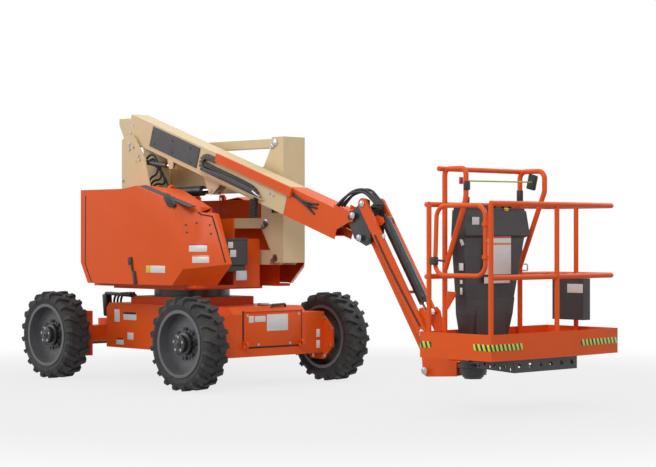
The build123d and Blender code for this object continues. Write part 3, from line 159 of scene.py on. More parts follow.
class Painter:
    """Builds each finish's material once and lays it on pieces."""

    def __init__(self) -> None:
        """Starts with no material mixed."""
        self._made: dict[Finish, bpy.types.Material] = {}

    def material(self, finish: Finish) -> bpy.types.Material:
        """Gives the material of a finish, mixing it the first time.

        Args:
            finish: The finish asked for.

        Returns:
            Its procedural material.
        """
        if finish not in self._made:
            self._made[finish] = self._mix(finish)
        return self._made[finish]

    def dress(self, piece: bpy.types.Object, finish: Finish) -> None:
        """Lays one finish on the whole piece.

        Args:
            piece: The mesh object.
            finish: The finish it gets.
        """
        material = self.material(finish)
        if not piece.data.materials:
            piece.data.materials.append(material)
        for spot in piece.material_slots:
            spot.material = material

    def dress_curve(self, piece: bpy.types.Object, finish: Finish) -> None:
        """Lays one finish on a curve piece."""
        piece.data.materials.append(self.material(finish))

    def _mix(self, finish: Finish) -> bpy.types.Material:
        """Wires a finish's nodes.

        Args:
            finish: The finish to mix.

        Returns:
            The new material.
        """
        coat = COATS[finish]
        material = bpy.data.materials.new(finish.value)
        material.use_nodes = True
        material.diffuse_color = (*coat.colour, 1.0)
        nodes, links = material.node_tree.nodes, material.node_tree.links
        shader = nodes["Principled BSDF"]
        shader.inputs["Metallic"].default_value = coat.metallic
        shader.inputs["Coat Weight"].default_value = coat.clear
        shader.inputs["Specular IOR Level"].default_value = coat.shine
        shader.inputs["Coat Roughness"].default_value = 0.12
        place = nodes.new("ShaderNodeTexCoord")

        def noise(scale: float, detail: float) -> bpy.types.Node:
            """Adds a noise pattern on Object coordinates."""
            made = nodes.new("ShaderNodeTexNoise")
            made.inputs["Scale"].default_value = scale
            made.inputs["Detail"].default_value = detail
            links.new(place.outputs["Object"], made.inputs["Vector"])
            return made

        def blend(kind: str, share: Value, below: Value, above: Value) -> bpy.types.NodeSocket:
            """Mixes two colours by a share, each a socket or a value."""
            made = nodes.new("ShaderNodeMix")
            made.data_type, made.blend_type = "RGBA", kind
            for socket, value in (
                (made.inputs[0], share), (made.inputs[6], below), (made.inputs[7], above)
            ):
                if isinstance(value, bpy.types.NodeSocket):
                    links.new(value, socket)
                else:
                    socket.default_value = value
            return made.outputs[2]

        def spread(
            source: bpy.types.NodeSocket, low: float, high: float, out_low: float, out_high: float
        ) -> bpy.types.NodeSocket:
            """Maps a span of values on another."""
            made = nodes.new("ShaderNodeMapRange")
            for at, value in enumerate((low, high, out_low, out_high), start=1):
                made.inputs[at].default_value = value
            links.new(source, made.inputs[0])
            return made.outputs[0]

        tone = noise(coat.tone_scale, 5.0)
        dark = tuple(c * (1 - coat.tone) for c in coat.colour)
        light = tuple(min(1.0, c * (1 + coat.tone)) for c in coat.colour)
        colour = blend("MIX", tone.outputs["Fac"], (*dark, 1), (*light, 1))
        if coat.stripe:
            parts = nodes.new("ShaderNodeSeparateXYZ")
            links.new(place.outputs["Object"], parts.inputs[0])

            def sum_of(first: Value, second: Value, kind: str = "ADD") -> bpy.types.NodeSocket:
                """Joins two values by arithmetic."""
                made = nodes.new("ShaderNodeMath")
                made.operation = kind
                for socket, value in ((made.inputs[0], first), (made.inputs[1], second)):
                    if isinstance(value, bpy.types.NodeSocket):
                        links.new(value, socket)
                    else:
                        socket.default_value = value
                return made.outputs[0]

            along = sum_of(
                sum_of(parts.outputs[0], parts.outputs[1]), sum_of(parts.outputs[2], 0.35, "MULTIPLY")
            )
            wave = sum_of(sum_of(along, coat.stripe, "MULTIPLY"), 1.0, "FLOORED_MODULO")
            colour = blend("MIX", sum_of(wave, 0.5, "GREATER_THAN"), colour, (*coat.stripe_colour, 1))
        if coat.dust:
            film = noise(7.0, 9.0)
            colour = blend(
                "MIX", spread(film.outputs["Fac"], 0.52, 0.80, 0.0, coat.dust), colour,
                (*coat.dust_colour, 1)
            )
        links.new(colour, shader.inputs["Base Color"])
        smear = noise(14.0, 6.0)
        links.new(
            spread(smear.outputs["Fac"], 0.3, 0.7, max(0.03, coat.roughness - 0.06), coat.roughness + 0.08),
            shader.inputs["Roughness"]
        )
        height = None
        if coat.grain:
            height = noise(coat.grain_scale, 2.0).outputs["Fac"]
        if coat.holes:
            # The holes are painted near-black: painted shade seen through the grille.
            cells = nodes.new("ShaderNodeTexVoronoi")
            cells.inputs["Scale"].default_value = coat.holes
            cells.inputs["Randomness"].default_value = 0.0
            links.new(place.outputs["Object"], cells.inputs["Vector"])
            height = spread(cells.outputs["Distance"], 0.28, 0.42, 0.0, 1.0)
            colour = blend("MIX", height, (0.012, 0.012, 0.012, 1), colour)
            links.new(colour, shader.inputs["Base Color"])
        if height is not None:
            bump = nodes.new("ShaderNodeBump")
            bump.inputs["Strength"].default_value = max(coat.grain, 0.5 if coat.holes else 0.0)
            bump.inputs["Distance"].default_value = 0.0006
            links.new(height, bump.inputs["Height"])
            links.new(bump.outputs["Normal"], shader.inputs["Normal"])
        return material


PAINT = Painter()


class Bench:
    """The workshop's operations: each leaves one finished piece at the origin."""

    @staticmethod
    def only(piece: bpy.types.Object) -> None:
        """Selects one object alone and makes it active."""
        for other in bpy.context.selected_objects:
            other.select_set(False)
        piece.select_set(True)
        bpy.context.view_layer.objects.active = piece

    @staticmethod
    def settle(piece: bpy.types.Object, name: str) -> bpy.types.Object:
        """Names a piece and puts its place into its mesh.

        Args:
            piece: The object to settle.
            name: Its name.

        Returns:
            The same object.
        """
        Bench.only(piece)
        bpy.ops.object.transform_apply(location=True, rotation=True, scale=True)
        piece.name = piece.data.name = name
        return piece

    @staticmethod
    def round_edges(piece: bpy.types.Object, radius: float, steps: int = 2) -> None:
        """Rounds a piece's sharp edges for good.

        Args:
            piece: The object, already settled.
            radius: The edges' radius in metres.
            steps: Segments of the rounding.
        """
        Bench.only(piece)
        edge = piece.modifiers.new("edges", "BEVEL")
        edge.width, edge.segments, edge.limit_method, edge.angle_limit = radius, steps, "ANGLE", math.radians(40)
        bpy.ops.object.modifier_apply(modifier=edge.name)
        bpy.ops.object.shade_smooth_by_angle(angle=math.radians(42))

    @staticmethod
    def slab(
        name: str, centre: Point, size: Point, turn: Point = (0, 0, 0), edge: float = 0.002
    ) -> bpy.types.Object:
        """Makes a rounded block.

        Args:
            name: The piece's name.
            centre: Its middle.
            size: Its length, width and height.
            turn: Its turn about X, Y and Z in degrees.
            edge: Its edges' radius.

        Returns:
            The piece.
        """
        for other in bpy.context.selected_objects:
            other.select_set(False)
        bpy.ops.mesh.primitive_cube_add(
            size=1, location=centre, rotation=tuple(math.radians(a) for a in turn)
        )
        piece = bpy.context.object
        piece.scale = size
        Bench.settle(piece, name)
        Bench.round_edges(piece, min(edge, min(size) * 0.45))
        return piece

    @staticmethod
    def turned(
        name: str, centre: Point, axis: Point, profile: Sequence[tuple[float, float]], sides: int = 24,
        edge: float = 0.001
    ) -> bpy.types.Object:
        """Turns a stepped round piece by extruding rings.

        Args:
            name: The piece's name.
            centre: The middle of its first face.
            axis: The way it grows.
            profile: Pairs of a ring's radius and its distance along the axis.
            sides: Its sides, 6 for a hex head.
            edge: Its edges' radius.

        Returns:
            The piece.
        """
        for other in bpy.context.selected_objects:
            other.select_set(False)
        first = profile[0][0]
        bpy.ops.mesh.primitive_circle_add(
            vertices=sides, radius=first, fill_type="NGON", location=(0, 0, 0)
        )
        piece = bpy.context.object
        bpy.ops.object.mode_set(mode="EDIT")
        bpy.ops.mesh.select_all(action="SELECT")
        before = profile[0]
        for radius, reach in profile[1:]:
            bpy.ops.mesh.extrude_region_move(TRANSFORM_OT_translate={"value": (0, 0, reach - before[1])})
            if abs(radius - before[0]) > 1e-9:
                share = radius / before[0]
                bpy.ops.transform.resize(value=(share, share, 1), center_override=(0, 0, reach))
            before = (radius, reach)
        bpy.ops.mesh.select_all(action="SELECT")
        bpy.ops.mesh.normals_make_consistent(inside=False)
        bpy.ops.object.mode_set(mode="OBJECT")
        piece.matrix_world = Matrix.Translation(
            Vector(centre)
        ) @ Vector(axis).to_track_quat("Z", "Y").to_matrix().to_4x4()
        Bench.settle(piece, name)
        if edge:
            Bench.round_edges(piece, edge)
        return piece

    @staticmethod
    def cut_plate(
        name: str, outline: Sequence[Point], thickness: float, edge: float = 0.001
    ) -> bpy.types.Object:
        """Cuts a flat plate to an outline of corners that lie in one plane.

        Args:
            name: The piece's name.
            outline: Its corners, in order.
            thickness: The plate's thickness, half each side of the corners.
            edge: Its edges' radius.

        Returns:
            The piece.
        """
        for other in bpy.context.selected_objects:
            other.select_set(False)
        bpy.ops.mesh.primitive_circle_add(
            vertices=len(outline), radius=1, fill_type="NGON", location=(0, 0, 0)
        )
        piece = bpy.context.object
        for corner, at in zip(piece.data.vertices, outline):
            corner.co = at
        Bench.settle(piece, name)
        wall = piece.modifiers.new("wall", "SOLIDIFY")
        wall.thickness, wall.offset = thickness, 0.0
        bpy.ops.object.modifier_apply(modifier=wall.name)
        if edge:
            Bench.round_edges(piece, min(edge, thickness * 0.45))
        return piece

    @staticmethod
    def hose(name: str, route: Sequence[Point], radius: float, sides: int = 5) -> bpy.types.Object:
        """Bends a fixed hose or rod along a smooth route.

        Args:
            name: The piece's name.
            route: The points that its line is drawn by.
            radius: Its radius.
            sides: How round it is.

        Returns:
            The piece.
        """
        for other in bpy.context.selected_objects:
            other.select_set(False)
        line = bpy.data.curves.new(name, "CURVE")
        line.dimensions, line.bevel_depth, line.bevel_resolution, line.use_fill_caps = "3D", radius, sides - 3, True
        run = line.splines.new("NURBS")
        run.points.add(len(route) - 1)
        for spot, at in zip(run.points, route):
            spot.co = (*at, 1.0)
        run.order_u, run.use_endpoint_u, run.resolution_u = 3, True, 8
        piece = bpy.data.objects.new(name, line)
        bpy.context.scene.collection.objects.link(piece)
        Bench.only(piece)
        bpy.ops.object.convert(target="MESH")
        bpy.ops.object.shade_smooth_by_angle(angle=math.radians(50))
        return bpy.context.object

    @staticmethod
    def hewn(name: str, low: Point, high: Point, cuts: Sequence[tuple[Point, Point]]) -> bpy.types.Object:
        """Hews a solid from a block by flat cuts.

        Args:
            name: The piece's name.
            low: The block's lowest corner.
            high: Its highest corner.
            cuts: Pairs of a point on a cut and the way that the waste lies.

        Returns:
            The closed solid.
        """
        for other in bpy.context.selected_objects:
            other.select_set(False)
        middle = tuple((a + b) / 2 for a, b in zip(low, high))
        bpy.ops.mesh.primitive_cube_add(size=1, location=middle)
        piece = bpy.context.object
        piece.scale = tuple(b - a for a, b in zip(low, high))
        Bench.settle(piece, name)
        bpy.ops.object.mode_set(mode="EDIT")
        for point, waste in cuts:
            bpy.ops.mesh.select_all(action="SELECT")
            bpy.ops.mesh.bisect(plane_co=point, plane_no=waste, use_fill=True, clear_outer=True)
        bpy.ops.mesh.select_all(action="SELECT")
        bpy.ops.mesh.normals_make_consistent(inside=False)
        bpy.ops.object.mode_set(mode="OBJECT")
        return piece

    @staticmethod
    def united(piece: bpy.types.Object, other: bpy.types.Object) -> bpy.types.Object:
        """Unites a solid with another, which is used up."""
        Bench.only(piece)
        join = piece.modifiers.new("unite", "BOOLEAN")
        join.operation, join.solver, join.object = "UNION", "EXACT", other
        bpy.ops.object.modifier_apply(modifier=join.name)
        bpy.data.objects.remove(other)
        bpy.ops.object.mode_set(mode="EDIT")
        bpy.ops.mesh.select_all(action="SELECT")
        bpy.ops.mesh.remove_doubles(threshold=0.0002)
        bpy.ops.object.mode_set(mode="OBJECT")
        return piece

    @staticmethod
    def shelled(
        piece: bpy.types.Object, is_open: Callable[[Vector, Vector], bool], wall: float, edge: float
    ) -> bpy.types.Object:
        """Opens a solid's chosen faces and gives the rest a wall.

        Args:
            piece: The closed solid.
            is_open: Says of a face's middle and normal whether it is open.
            wall: The wall's thickness, inwards.
            edge: The outer edges' radius.

        Returns:
            The same piece.
        """
        Bench.only(piece)
        bpy.ops.object.mode_set(mode="EDIT")
        bpy.ops.mesh.select_mode(type="FACE")
        bpy.ops.mesh.select_all(action="DESELECT")
        bpy.ops.object.mode_set(mode="OBJECT")
        for face in piece.data.polygons:
            face.select = is_open(face.center, face.normal)
        bpy.ops.object.mode_set(mode="EDIT")
        bpy.ops.mesh.delete(type="FACE")
        bpy.ops.mesh.select_mode(type="VERT")
        bpy.ops.object.mode_set(mode="OBJECT")
        round_off = piece.modifiers.new("edges", "BEVEL")
        round_off.width, round_off.segments, round_off.limit_method = edge, 3, "ANGLE"
        round_off.angle_limit = math.radians(12)
        bpy.ops.object.modifier_apply(modifier=round_off.name)
        skin = piece.modifiers.new("wall", "SOLIDIFY")
        skin.thickness, skin.offset, skin.use_even_offset = wall, -1.0, False
        bpy.ops.object.modifier_apply(modifier=skin.name)
        bpy.ops.object.shade_smooth_by_angle(angle=math.radians(14))
        return piece

    @staticmethod
    def tube(
        name: str, corners: Sequence[Point], radius: float, bend: float, sides: int = 9
    ) -> bpy.types.Object:
        """Bends a rigid tube: straight runs with round bends at its corners.

        Args:
            name: The piece's name.
            corners: Its ends and corners.
            radius: Its radius.
            bend: How far from a corner the bend starts.
            sides: How round it is.

        Returns:
            The piece.
        """
        spots = [Vector(c) for c in corners]
        route = [spots[0]]
        for before, corner, after in zip(spots, spots[1:], spots[2:]):
            to_back, to_front = before - corner, after - corner
            route.append(corner + to_back.normalized() * min(bend, to_back.length * 0.45))
            route.append(corner)
            route.append(corner + to_front.normalized() * min(bend, to_front.length * 0.45))
        route.append(spots[-1])
        return Bench.hose(name, [tuple(p) for p in route], radius, sides)

    @staticmethod
    def repeat(name: str, pattern: bpy.types.Object, moves: Iterable[Matrix]) -> bpy.types.Object:
        """Copies a piece to several places and joins the copies.

        Args:
            name: The joined piece's name.
            pattern: The piece modelled once, which is used up.
            moves: Where each copy goes.

        Returns:
            The joined piece.
        """
        copies = []
        for move in moves:
            copy = pattern.copy()
            copy.data = pattern.data.copy()
            copy.data.transform(move)
            bpy.context.scene.collection.objects.link(copy)
            copies.append(copy)
        bpy.data.objects.remove(pattern)
        return Bench.joined(name, copies)

    @staticmethod
    def joined(name: str, parts: Sequence[bpy.types.Object]) -> bpy.types.Object:
        """Joins pieces into one.

        Args:
            name: The joined piece's name.
            parts: The pieces, which are used up.

        Returns:
            The joined piece.
        """
        for other in bpy.context.selected_objects:
            other.select_set(False)
        for part in parts:
            part.select_set(True)
        bpy.context.view_layer.objects.active = parts[0]
        if len(parts) > 1:
            bpy.ops.object.join()
        piece = bpy.context.object
        piece.name = piece.data.name = name
        return piece

    @staticmethod
    def bolts(name: str, centres: Sequence[Point], axis: Point, size: float = 0.009) -> bpy.types.Object:
        """Sets hex bolts with washers on a face.

        Args:
            name: The set's name.
            centres: Where each one sits on the face.
            axis: The way that the heads point.
            size: The heads' radius.

        Returns:
            The joined bolts.
        """
        washer = Bench.turned(
            "washer", (0, 0, 0), axis, [(size * 1.45, -0.001), (size * 1.45, size * 0.22)], 16, 0
        )
        head = Bench.turned(
            "head", (0, 0, 0), axis, [(size, size * 0.2), (size, size * 0.75), (size * 0.84, size * 0.9)],
            6, 0
        )
        bolt = Bench.joined("bolt", [washer, head])
        return Bench.repeat(name, bolt, [Matrix.Translation(Vector(c)) for c in centres])


@dataclass
class Assembly:
    """A sub-assembly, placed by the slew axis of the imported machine."""

    slew: Vector
    made: list[str] = field(default_factory=list)

    def at(self, x: float, y: float, z: float) -> Point:
        """Gives a point measured from the slew axis on the floor."""
        return (self.slew.x + x, self.slew.y + y, z)

    def fit(self, piece: bpy.types.Object, body: str, finish: Finish) -> bpy.types.Object:
        """Finishes a piece and sets it on the body that carries it.

        Args:
            piece: The finished mesh.
            body: The body's name.
            finish: Its finish.

        Returns:
            The piece.
        """
        PAINT.dress(piece, finish)
        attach(piece, body)
        self.made.append(piece.name)
        LOG.info("%s rides on %s in %s", piece.name, body, finish.value)
        return piece

    def label(self, name: str, body: str, centre: Point, size: tuple[float, float], turn: Point = (0, 0, 0),
              header: Finish | None = None, header_share: float = 0.22) -> None:
        """Sticks a blank label, its face turned to -Y before its turn.

        Args:
            name: Its name.
            body: The body that carries it.
            centre: Its middle.
            size: Its width and height.
            turn: Its turn in degrees.
            header: The finish of the band along its top, if it has one.
            header_share: The band's share of the height.
        """
        wide, tall = size
        self.fit(Bench.slab(name, centre, (wide, 0.0016, tall), turn, 0.0005), body, Finish.LABEL)
        if header is not None:
            spin = Euler([math.radians(a) for a in turn]).to_matrix()
            up = spin @ Vector((0, -0.0006, tall * (1 - header_share) / 2))
            band = Bench.slab(
                f"{name}_band", tuple(Vector(centre) + up), (wide * 0.996, 0.0016, tall * header_share),
                turn, 0.0004
            )
            self.fit(band, body, header)


RECORD_SLOTS: set[str] = set()


@dataclass
class Studio:
    """The floor, the lights and the camera."""

    slew: Vector
    eye: Point = (12.600, -10.327, 1.312)
    look: Point = (-0.7221, 0.6918, 0.00216)
    lens: float = 96.15
    floor_white: float = 0.78
    fade_from: float = 3.4
    fade_to: float = 7.0

    def build(self) -> None:
        """Sets up everything that isn't the machine."""
        scene = bpy.context.scene
        scene.view_settings.view_transform = "Standard"
        view = bpy.data.cameras.new("camera")
        view.lens, view.sensor_width, view.clip_end = self.lens, 36.0, 100.0
        camera = bpy.data.objects.new("camera", view)
        camera.location = (self.slew.x + self.eye[0], self.slew.y + self.eye[1], self.eye[2])
        camera.rotation_euler = Vector(self.look).to_track_quat("-Z", "Y").to_euler()
        scene.collection.objects.link(camera)
        scene.camera = camera
        for other in bpy.context.selected_objects:
            other.select_set(False)
        bpy.ops.mesh.primitive_plane_add(size=120, location=(0, 0, -0.001))
        floor = bpy.context.object
        bpy.ops.object.transform_apply(location=True, rotation=True, scale=True)
        floor.name = "floor"
        floor.data.materials.append(self._pale("floor"))
        self._sky(scene)
        for name, place, size, power in (
            ("key", (7.0, -9.5, 8.5), 5.0, 620), ("fill", (-9.0, -8.0, 6.0), 6.0, 300),
            ("top", (0.0, 1.5, 9.5), 7.0, 260), ("back", (2.0, 10.0, 6.0), 6.0, 220)
        ):
            lamp = bpy.data.lights.new(name, "AREA")
            lamp.size, lamp.energy = size, power
            light = bpy.data.objects.new(name, lamp)
            light.location = place
            light.rotation_euler = (Vector((0, 0, 1.0)) - Vector(place)).to_track_quat("-Z", "Y").to_euler()
            scene.collection.objects.link(light)

    @staticmethod
    def _seen(nodes: bpy.types.Nodes, links: bpy.types.NodeLinks) -> bpy.types.NodeSocket:
        """Gives 1 where the eye, a mirror or glass looks straight at the stage."""
        path = nodes.new("ShaderNodeLightPath")
        either = path.outputs["Is Camera Ray"]
        for name in ("Is Glossy Ray", "Is Transmission Ray"):
            most = nodes.new("ShaderNodeMath")
            most.operation = "MAXIMUM"
            links.new(either, most.inputs[0])
            links.new(path.outputs[name], most.inputs[1])
            either = most.outputs[0]
        return either

    def _sky(self, scene: bpy.types.Scene) -> None:
        """Lights the room evenly and shows white behind the machine."""
        world = bpy.data.worlds.new("studio")
        scene.world = world
        world.use_nodes = True
        nodes, links = world.node_tree.nodes, world.node_tree.links
        sky = nodes["Background"]
        sky.inputs[0].default_value, sky.inputs[1].default_value = (1, 1, 1, 1), 0.50
        shown = nodes.new("ShaderNodeBackground")
        shown.inputs[0].default_value, shown.inputs[1].default_value = (1, 1, 1, 1), 1.0
        mixed = nodes.new("ShaderNodeMixShader")
        links.new(self._seen(nodes, links), mixed.inputs[0])
        links.new(sky.outputs[0], mixed.inputs[1])
        links.new(shown.outputs[0], mixed.inputs[2])
        links.new(mixed.outputs[0], nodes["World Output"].inputs[0])

    def _pale(self, name: str) -> bpy.types.Material:
        """Makes the floor's material: a pale floor that keeps the shadow and turns white further out.

        Args:
            name: The material's name.

        Returns:
            The material.
        """
        material = bpy.data.materials.new(name)
        material.use_nodes = True
        nodes, links = material.node_tree.nodes, material.node_tree.links
        shader = nodes["Principled BSDF"]
        shader.inputs["Base Color"].default_value = (0.34, 0.34, 0.34, 1)
        shader.inputs["Roughness"].default_value = 0.9
        shader.inputs["Specular IOR Level"].default_value = 0.1
        white = nodes.new("ShaderNodeEmission")
        white.inputs[0].default_value, white.inputs[1].default_value = (1, 1, 1, 1), 1.0
        place = nodes.new("ShaderNodeTexCoord")
        reach = nodes.new("ShaderNodeVectorMath")
        reach.operation = "LENGTH"
        links.new(place.outputs["Object"], reach.inputs[0])
        fade = nodes.new("ShaderNodeMapRange")
        fade.interpolation_type = "SMOOTHSTEP"
        for at, value in enumerate((self.fade_from, self.fade_to, self.floor_white, 1.0), start=1):
            fade.inputs[at].default_value = value
        links.new(reach.outputs["Value"], fade.inputs[0])
        share = nodes.new("ShaderNodeMath")
        share.operation = "MULTIPLY"
        links.new(fade.outputs[0], share.inputs[0])
        links.new(self._seen(nodes, links), share.inputs[1])
        mixed = nodes.new("ShaderNodeMixShader")
        links.new(share.outputs[0], mixed.inputs[0])
        links.new(shader.outputs[0], mixed.inputs[1])
        links.new(white.outputs[0], mixed.inputs[2])
        links.new(mixed.outputs[0], nodes["Material Output"].inputs[0])
        return material


@dataclass
class Wheels(Assembly):
    """Screws, nuts and valves on the four wheels."""

    hub_ring: float = 0.060
    nut_ring: float = 0.128
    nut_depth: float = 0.078
    first_turn: float = 0.3

    def build(self) -> None:
        """Adds the hub's screws, the wheel nuts and the valve on each wheel."""
        for end in ("front", "rear"):
            for side, out in (("right", -1.0), ("left", 1.0)):
                name, body = f"{end}_{side}", f"wheel_{end}_{side}"
                low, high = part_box(f"hub_{name}")
                middle = (Vector(low) + Vector(high)) / 2
                face = low[1] if out < 0 else high[1]
                self.fit(
                    self._ring(f"hub_screws_{name}", middle, face, out, self.hub_ring, 5, 0.008), body,
                    Finish.ZINC
                )
                self.fit(
                    self._ring(
                        f"wheel_nuts_{name}", middle, face - out * self.nut_depth, out, self.nut_ring, 9,
                        0.012
                    ),
                    body, Finish.BLACK
                )
                cap = Bench.turned(
                    f"hub_cap_{name}", (middle.x, face - out * 0.001, middle.z), (0, out, 0),
                    [(0.034, 0.0), (0.034, 0.006), (0.026, 0.010), (0.012, 0.010), (0.012, 0.016)], 28
                )
                self.fit(cap, body, Finish.BLACK)
                plug = Bench.turned(
                    f"hub_plug_{name}", (middle.x - 0.02, face, middle.z + 0.070), (0, out, 0),
                    [(0.008, 0.0), (0.008, 0.006), (0.005, 0.008)], 6, 0
                )
                self.fit(plug, body, Finish.ZINC)
                valve = Bench.hose(
                    f"valve_{name}",
                    [
                        (middle.x + 0.20, face - out * 0.085, middle.z + 0.06),
                        (middle.x + 0.205, face - out * 0.065, middle.z + 0.062),
                        (middle.x + 0.21, face - out * 0.045, middle.z + 0.064)
                    ],
                    0.006
                )
                self.fit(valve, body, Finish.HOSE)

    def _ring(
        self, name: str, middle: Vector, face: float, out: float, radius: float, count: int, size: float
    ) -> bpy.types.Object:
        """Sets bolts in a ring on a face across Y.

        Args:
            name: The ring's name.
            middle: The wheel's middle.
            face: The face's Y.
            out: Which way is out, -1 or 1.
            radius: The ring's radius.
            count: How many bolts.
            size: A head's radius.

        Returns:
            The joined ring.
        """
        spots = []
        for step in range(count):
            turn = math.tau * step / count + self.first_turn
            spots.append((middle.x + radius * math.cos(turn), face, middle.z + radius * math.sin(turn)))
        return Bench.bolts(name, spots, (0, out, 0), size)


@dataclass
class Chassis(Assembly):
    """Panels, labels, seams and guards of the chassis."""

    side: float = -0.430
    front: float = 1.100
    end_plate: float = 0.668
    panel_proud: float = 0.010
    axle_tag: Point = (1.087, 0.577, 84)
    deck_hoses: tuple[float, float, float] = (-0.29, -0.25, -0.21)

    def build(self) -> None:
        """Adds the front panel, the seams, the blank labels and the rear guard."""
        body = "chassis"
        self._front_panel(body)
        out = self.side - 0.001
        for name, x, z, size, header in (("tag_high", -0.576, 0.582, (0.080, 0.115), None),
                                         ("tag_wide", -0.380, 0.584, (0.195, 0.075), Finish.BLACK),
                                         ("tag_low", -0.372, 0.398, (0.090, 0.065), None),
                                         ("tag_corner", -0.532, 0.345, (0.110, 0.065), Finish.RED)):
            self.label(f"chassis_{name}", body, self.at(x, out, z), size, header=header, header_share=0.30)
        for side in (1, -1):
            spots = [
                self.at(x, side * self.end_plate, z)
                for x, z in (
                    (1.084, 0.579), (1.150, 0.490), (1.150, 0.335), (1.084, 0.240), (0.933, 0.236),
                    (0.880, 0.560)
                )
            ]
            self.fit(
                Bench.bolts(
                    f"axle_plate_bolts_{'left' if side > 0 else 'right'}", spots, (0, -side, 0), 0.011
                ),
                body, Finish.ZINC
            )
        for z in (0.446, 0.346):
            self.label(
                f"axle_tag_{round(z * 1000)}", body, self.at(self.axle_tag[0], self.axle_tag[1], z),
                (0.045, 0.07), (0, 0, self.axle_tag[2])
            )
        self._rear_guard(body)
        self._deck_fittings(body)

    def _front_panel(self, body: str) -> None:
        """Hangs the access panel with its shadow gap, screws, hinge and labels on the front face."""
        # Near-black strip round the panel: painted shade in its gap.
        gap = Bench.slab(
            "front_panel_gap", self.at(self.front + 0.001, 0.013, 0.505), (0.004, 0.704, 0.328), edge=0.0015
        )
        self.fit(gap, body, Finish.PAINTED_SHADE)
        panel = Bench.slab(
            "front_panel", self.at(self.front + 0.0045, 0.013, 0.507), (0.009, 0.676, 0.304), edge=0.004
        )
        self.fit(panel, body, Finish.ORANGE)
        face = self.front + self.panel_proud
        screws = [
            self.at(face, y, z) for y, z in ((-0.163, 0.373), (0.210, 0.373), (-0.29, 0.63), (0.315, 0.63))
        ]
        self.fit(Bench.bolts("front_panel_screws", screws, (1, 0, 0), 0.008), body, Finish.ZINC)
        for name, y, z, size in (
            ("tiny", -0.245, 0.596, (0.056, 0.060)), ("small", -0.141, 0.597, (0.125, 0.052)),
            ("large", 0.063, 0.561, (0.250, 0.146))
        ):
            self.label(f"front_label_{name}", body, self.at(face - 0.0003, y, z), size, (0, 0, 90))
        pad = Bench.slab(
            "front_label_pad", self.at(face + 0.0004, 0.063, 0.561), (0.0014, 0.17, 0.095), edge=0.0004
        )
        self.fit(pad, body, Finish.LABEL)
        hinge = Bench.hose("front_panel_hinge", [self.at(face, -0.32, 0.664), self.at(face, 0.0, 0.664),
                                                 self.at(face, 0.346, 0.664)], 0.007, 8)
        self.fit(hinge, body, Finish.ORANGE)

    def _rear_guard(self, body: str) -> None:
        """Lays the rubber hose guard round the chassis's rear corner."""
        upright = Bench.slab(
            "rear_guard_upright", self.at(-0.785, -0.385, 0.675), (0.066, 0.075, 0.21), (0, -6, 0), 0.014
        )
        strap = Bench.slab(
            "rear_guard_strap", self.at(-0.600, -0.372, 0.778), (0.40, 0.085, 0.028), (0, 2, 0), 0.010
        )
        end = Bench.slab(
            "rear_guard_end", self.at(-0.425, -0.375, 0.775), (0.075, 0.06, 0.022), (0, 2, 30), 0.008
        )
        self.fit(Bench.joined("rear_guard", [upright, strap, end]), body, Finish.HOSE)
        for index, y in enumerate(self.deck_hoses):
            hose = Bench.hose(
                f"axle_hose_{index}",
                [
                    self.at(-0.60, y, 0.785), self.at(-0.74, y, 0.790), self.at(-0.815, y, 0.74),
                    self.at(-0.83, y + 0.02, 0.62), self.at(-0.86, y + 0.04, 0.53)
                ],
                0.011, 8
            )
            self.fit(hose, body, Finish.HOSE)

    def _deck_fittings(self, body: str) -> None:
        """Adds the handle and the grease block on the sloping front deck."""
        grip = Bench.tube(
            "deck_handle",
            [
                self.at(1.030, 0.060, 0.684), self.at(1.032, 0.066, 0.712), self.at(1.028, 0.226, 0.716),
                self.at(1.024, 0.232, 0.690)
            ],
            0.011, 0.02, 8
        )
        self.fit(grip, body, Finish.BLACK)
        block = Bench.slab("grease_block", self.at(0.86, 0.12, 0.712), (0.05, 0.10, 0.022), edge=0.004)
        self.fit(block, body, Finish.ZINC)


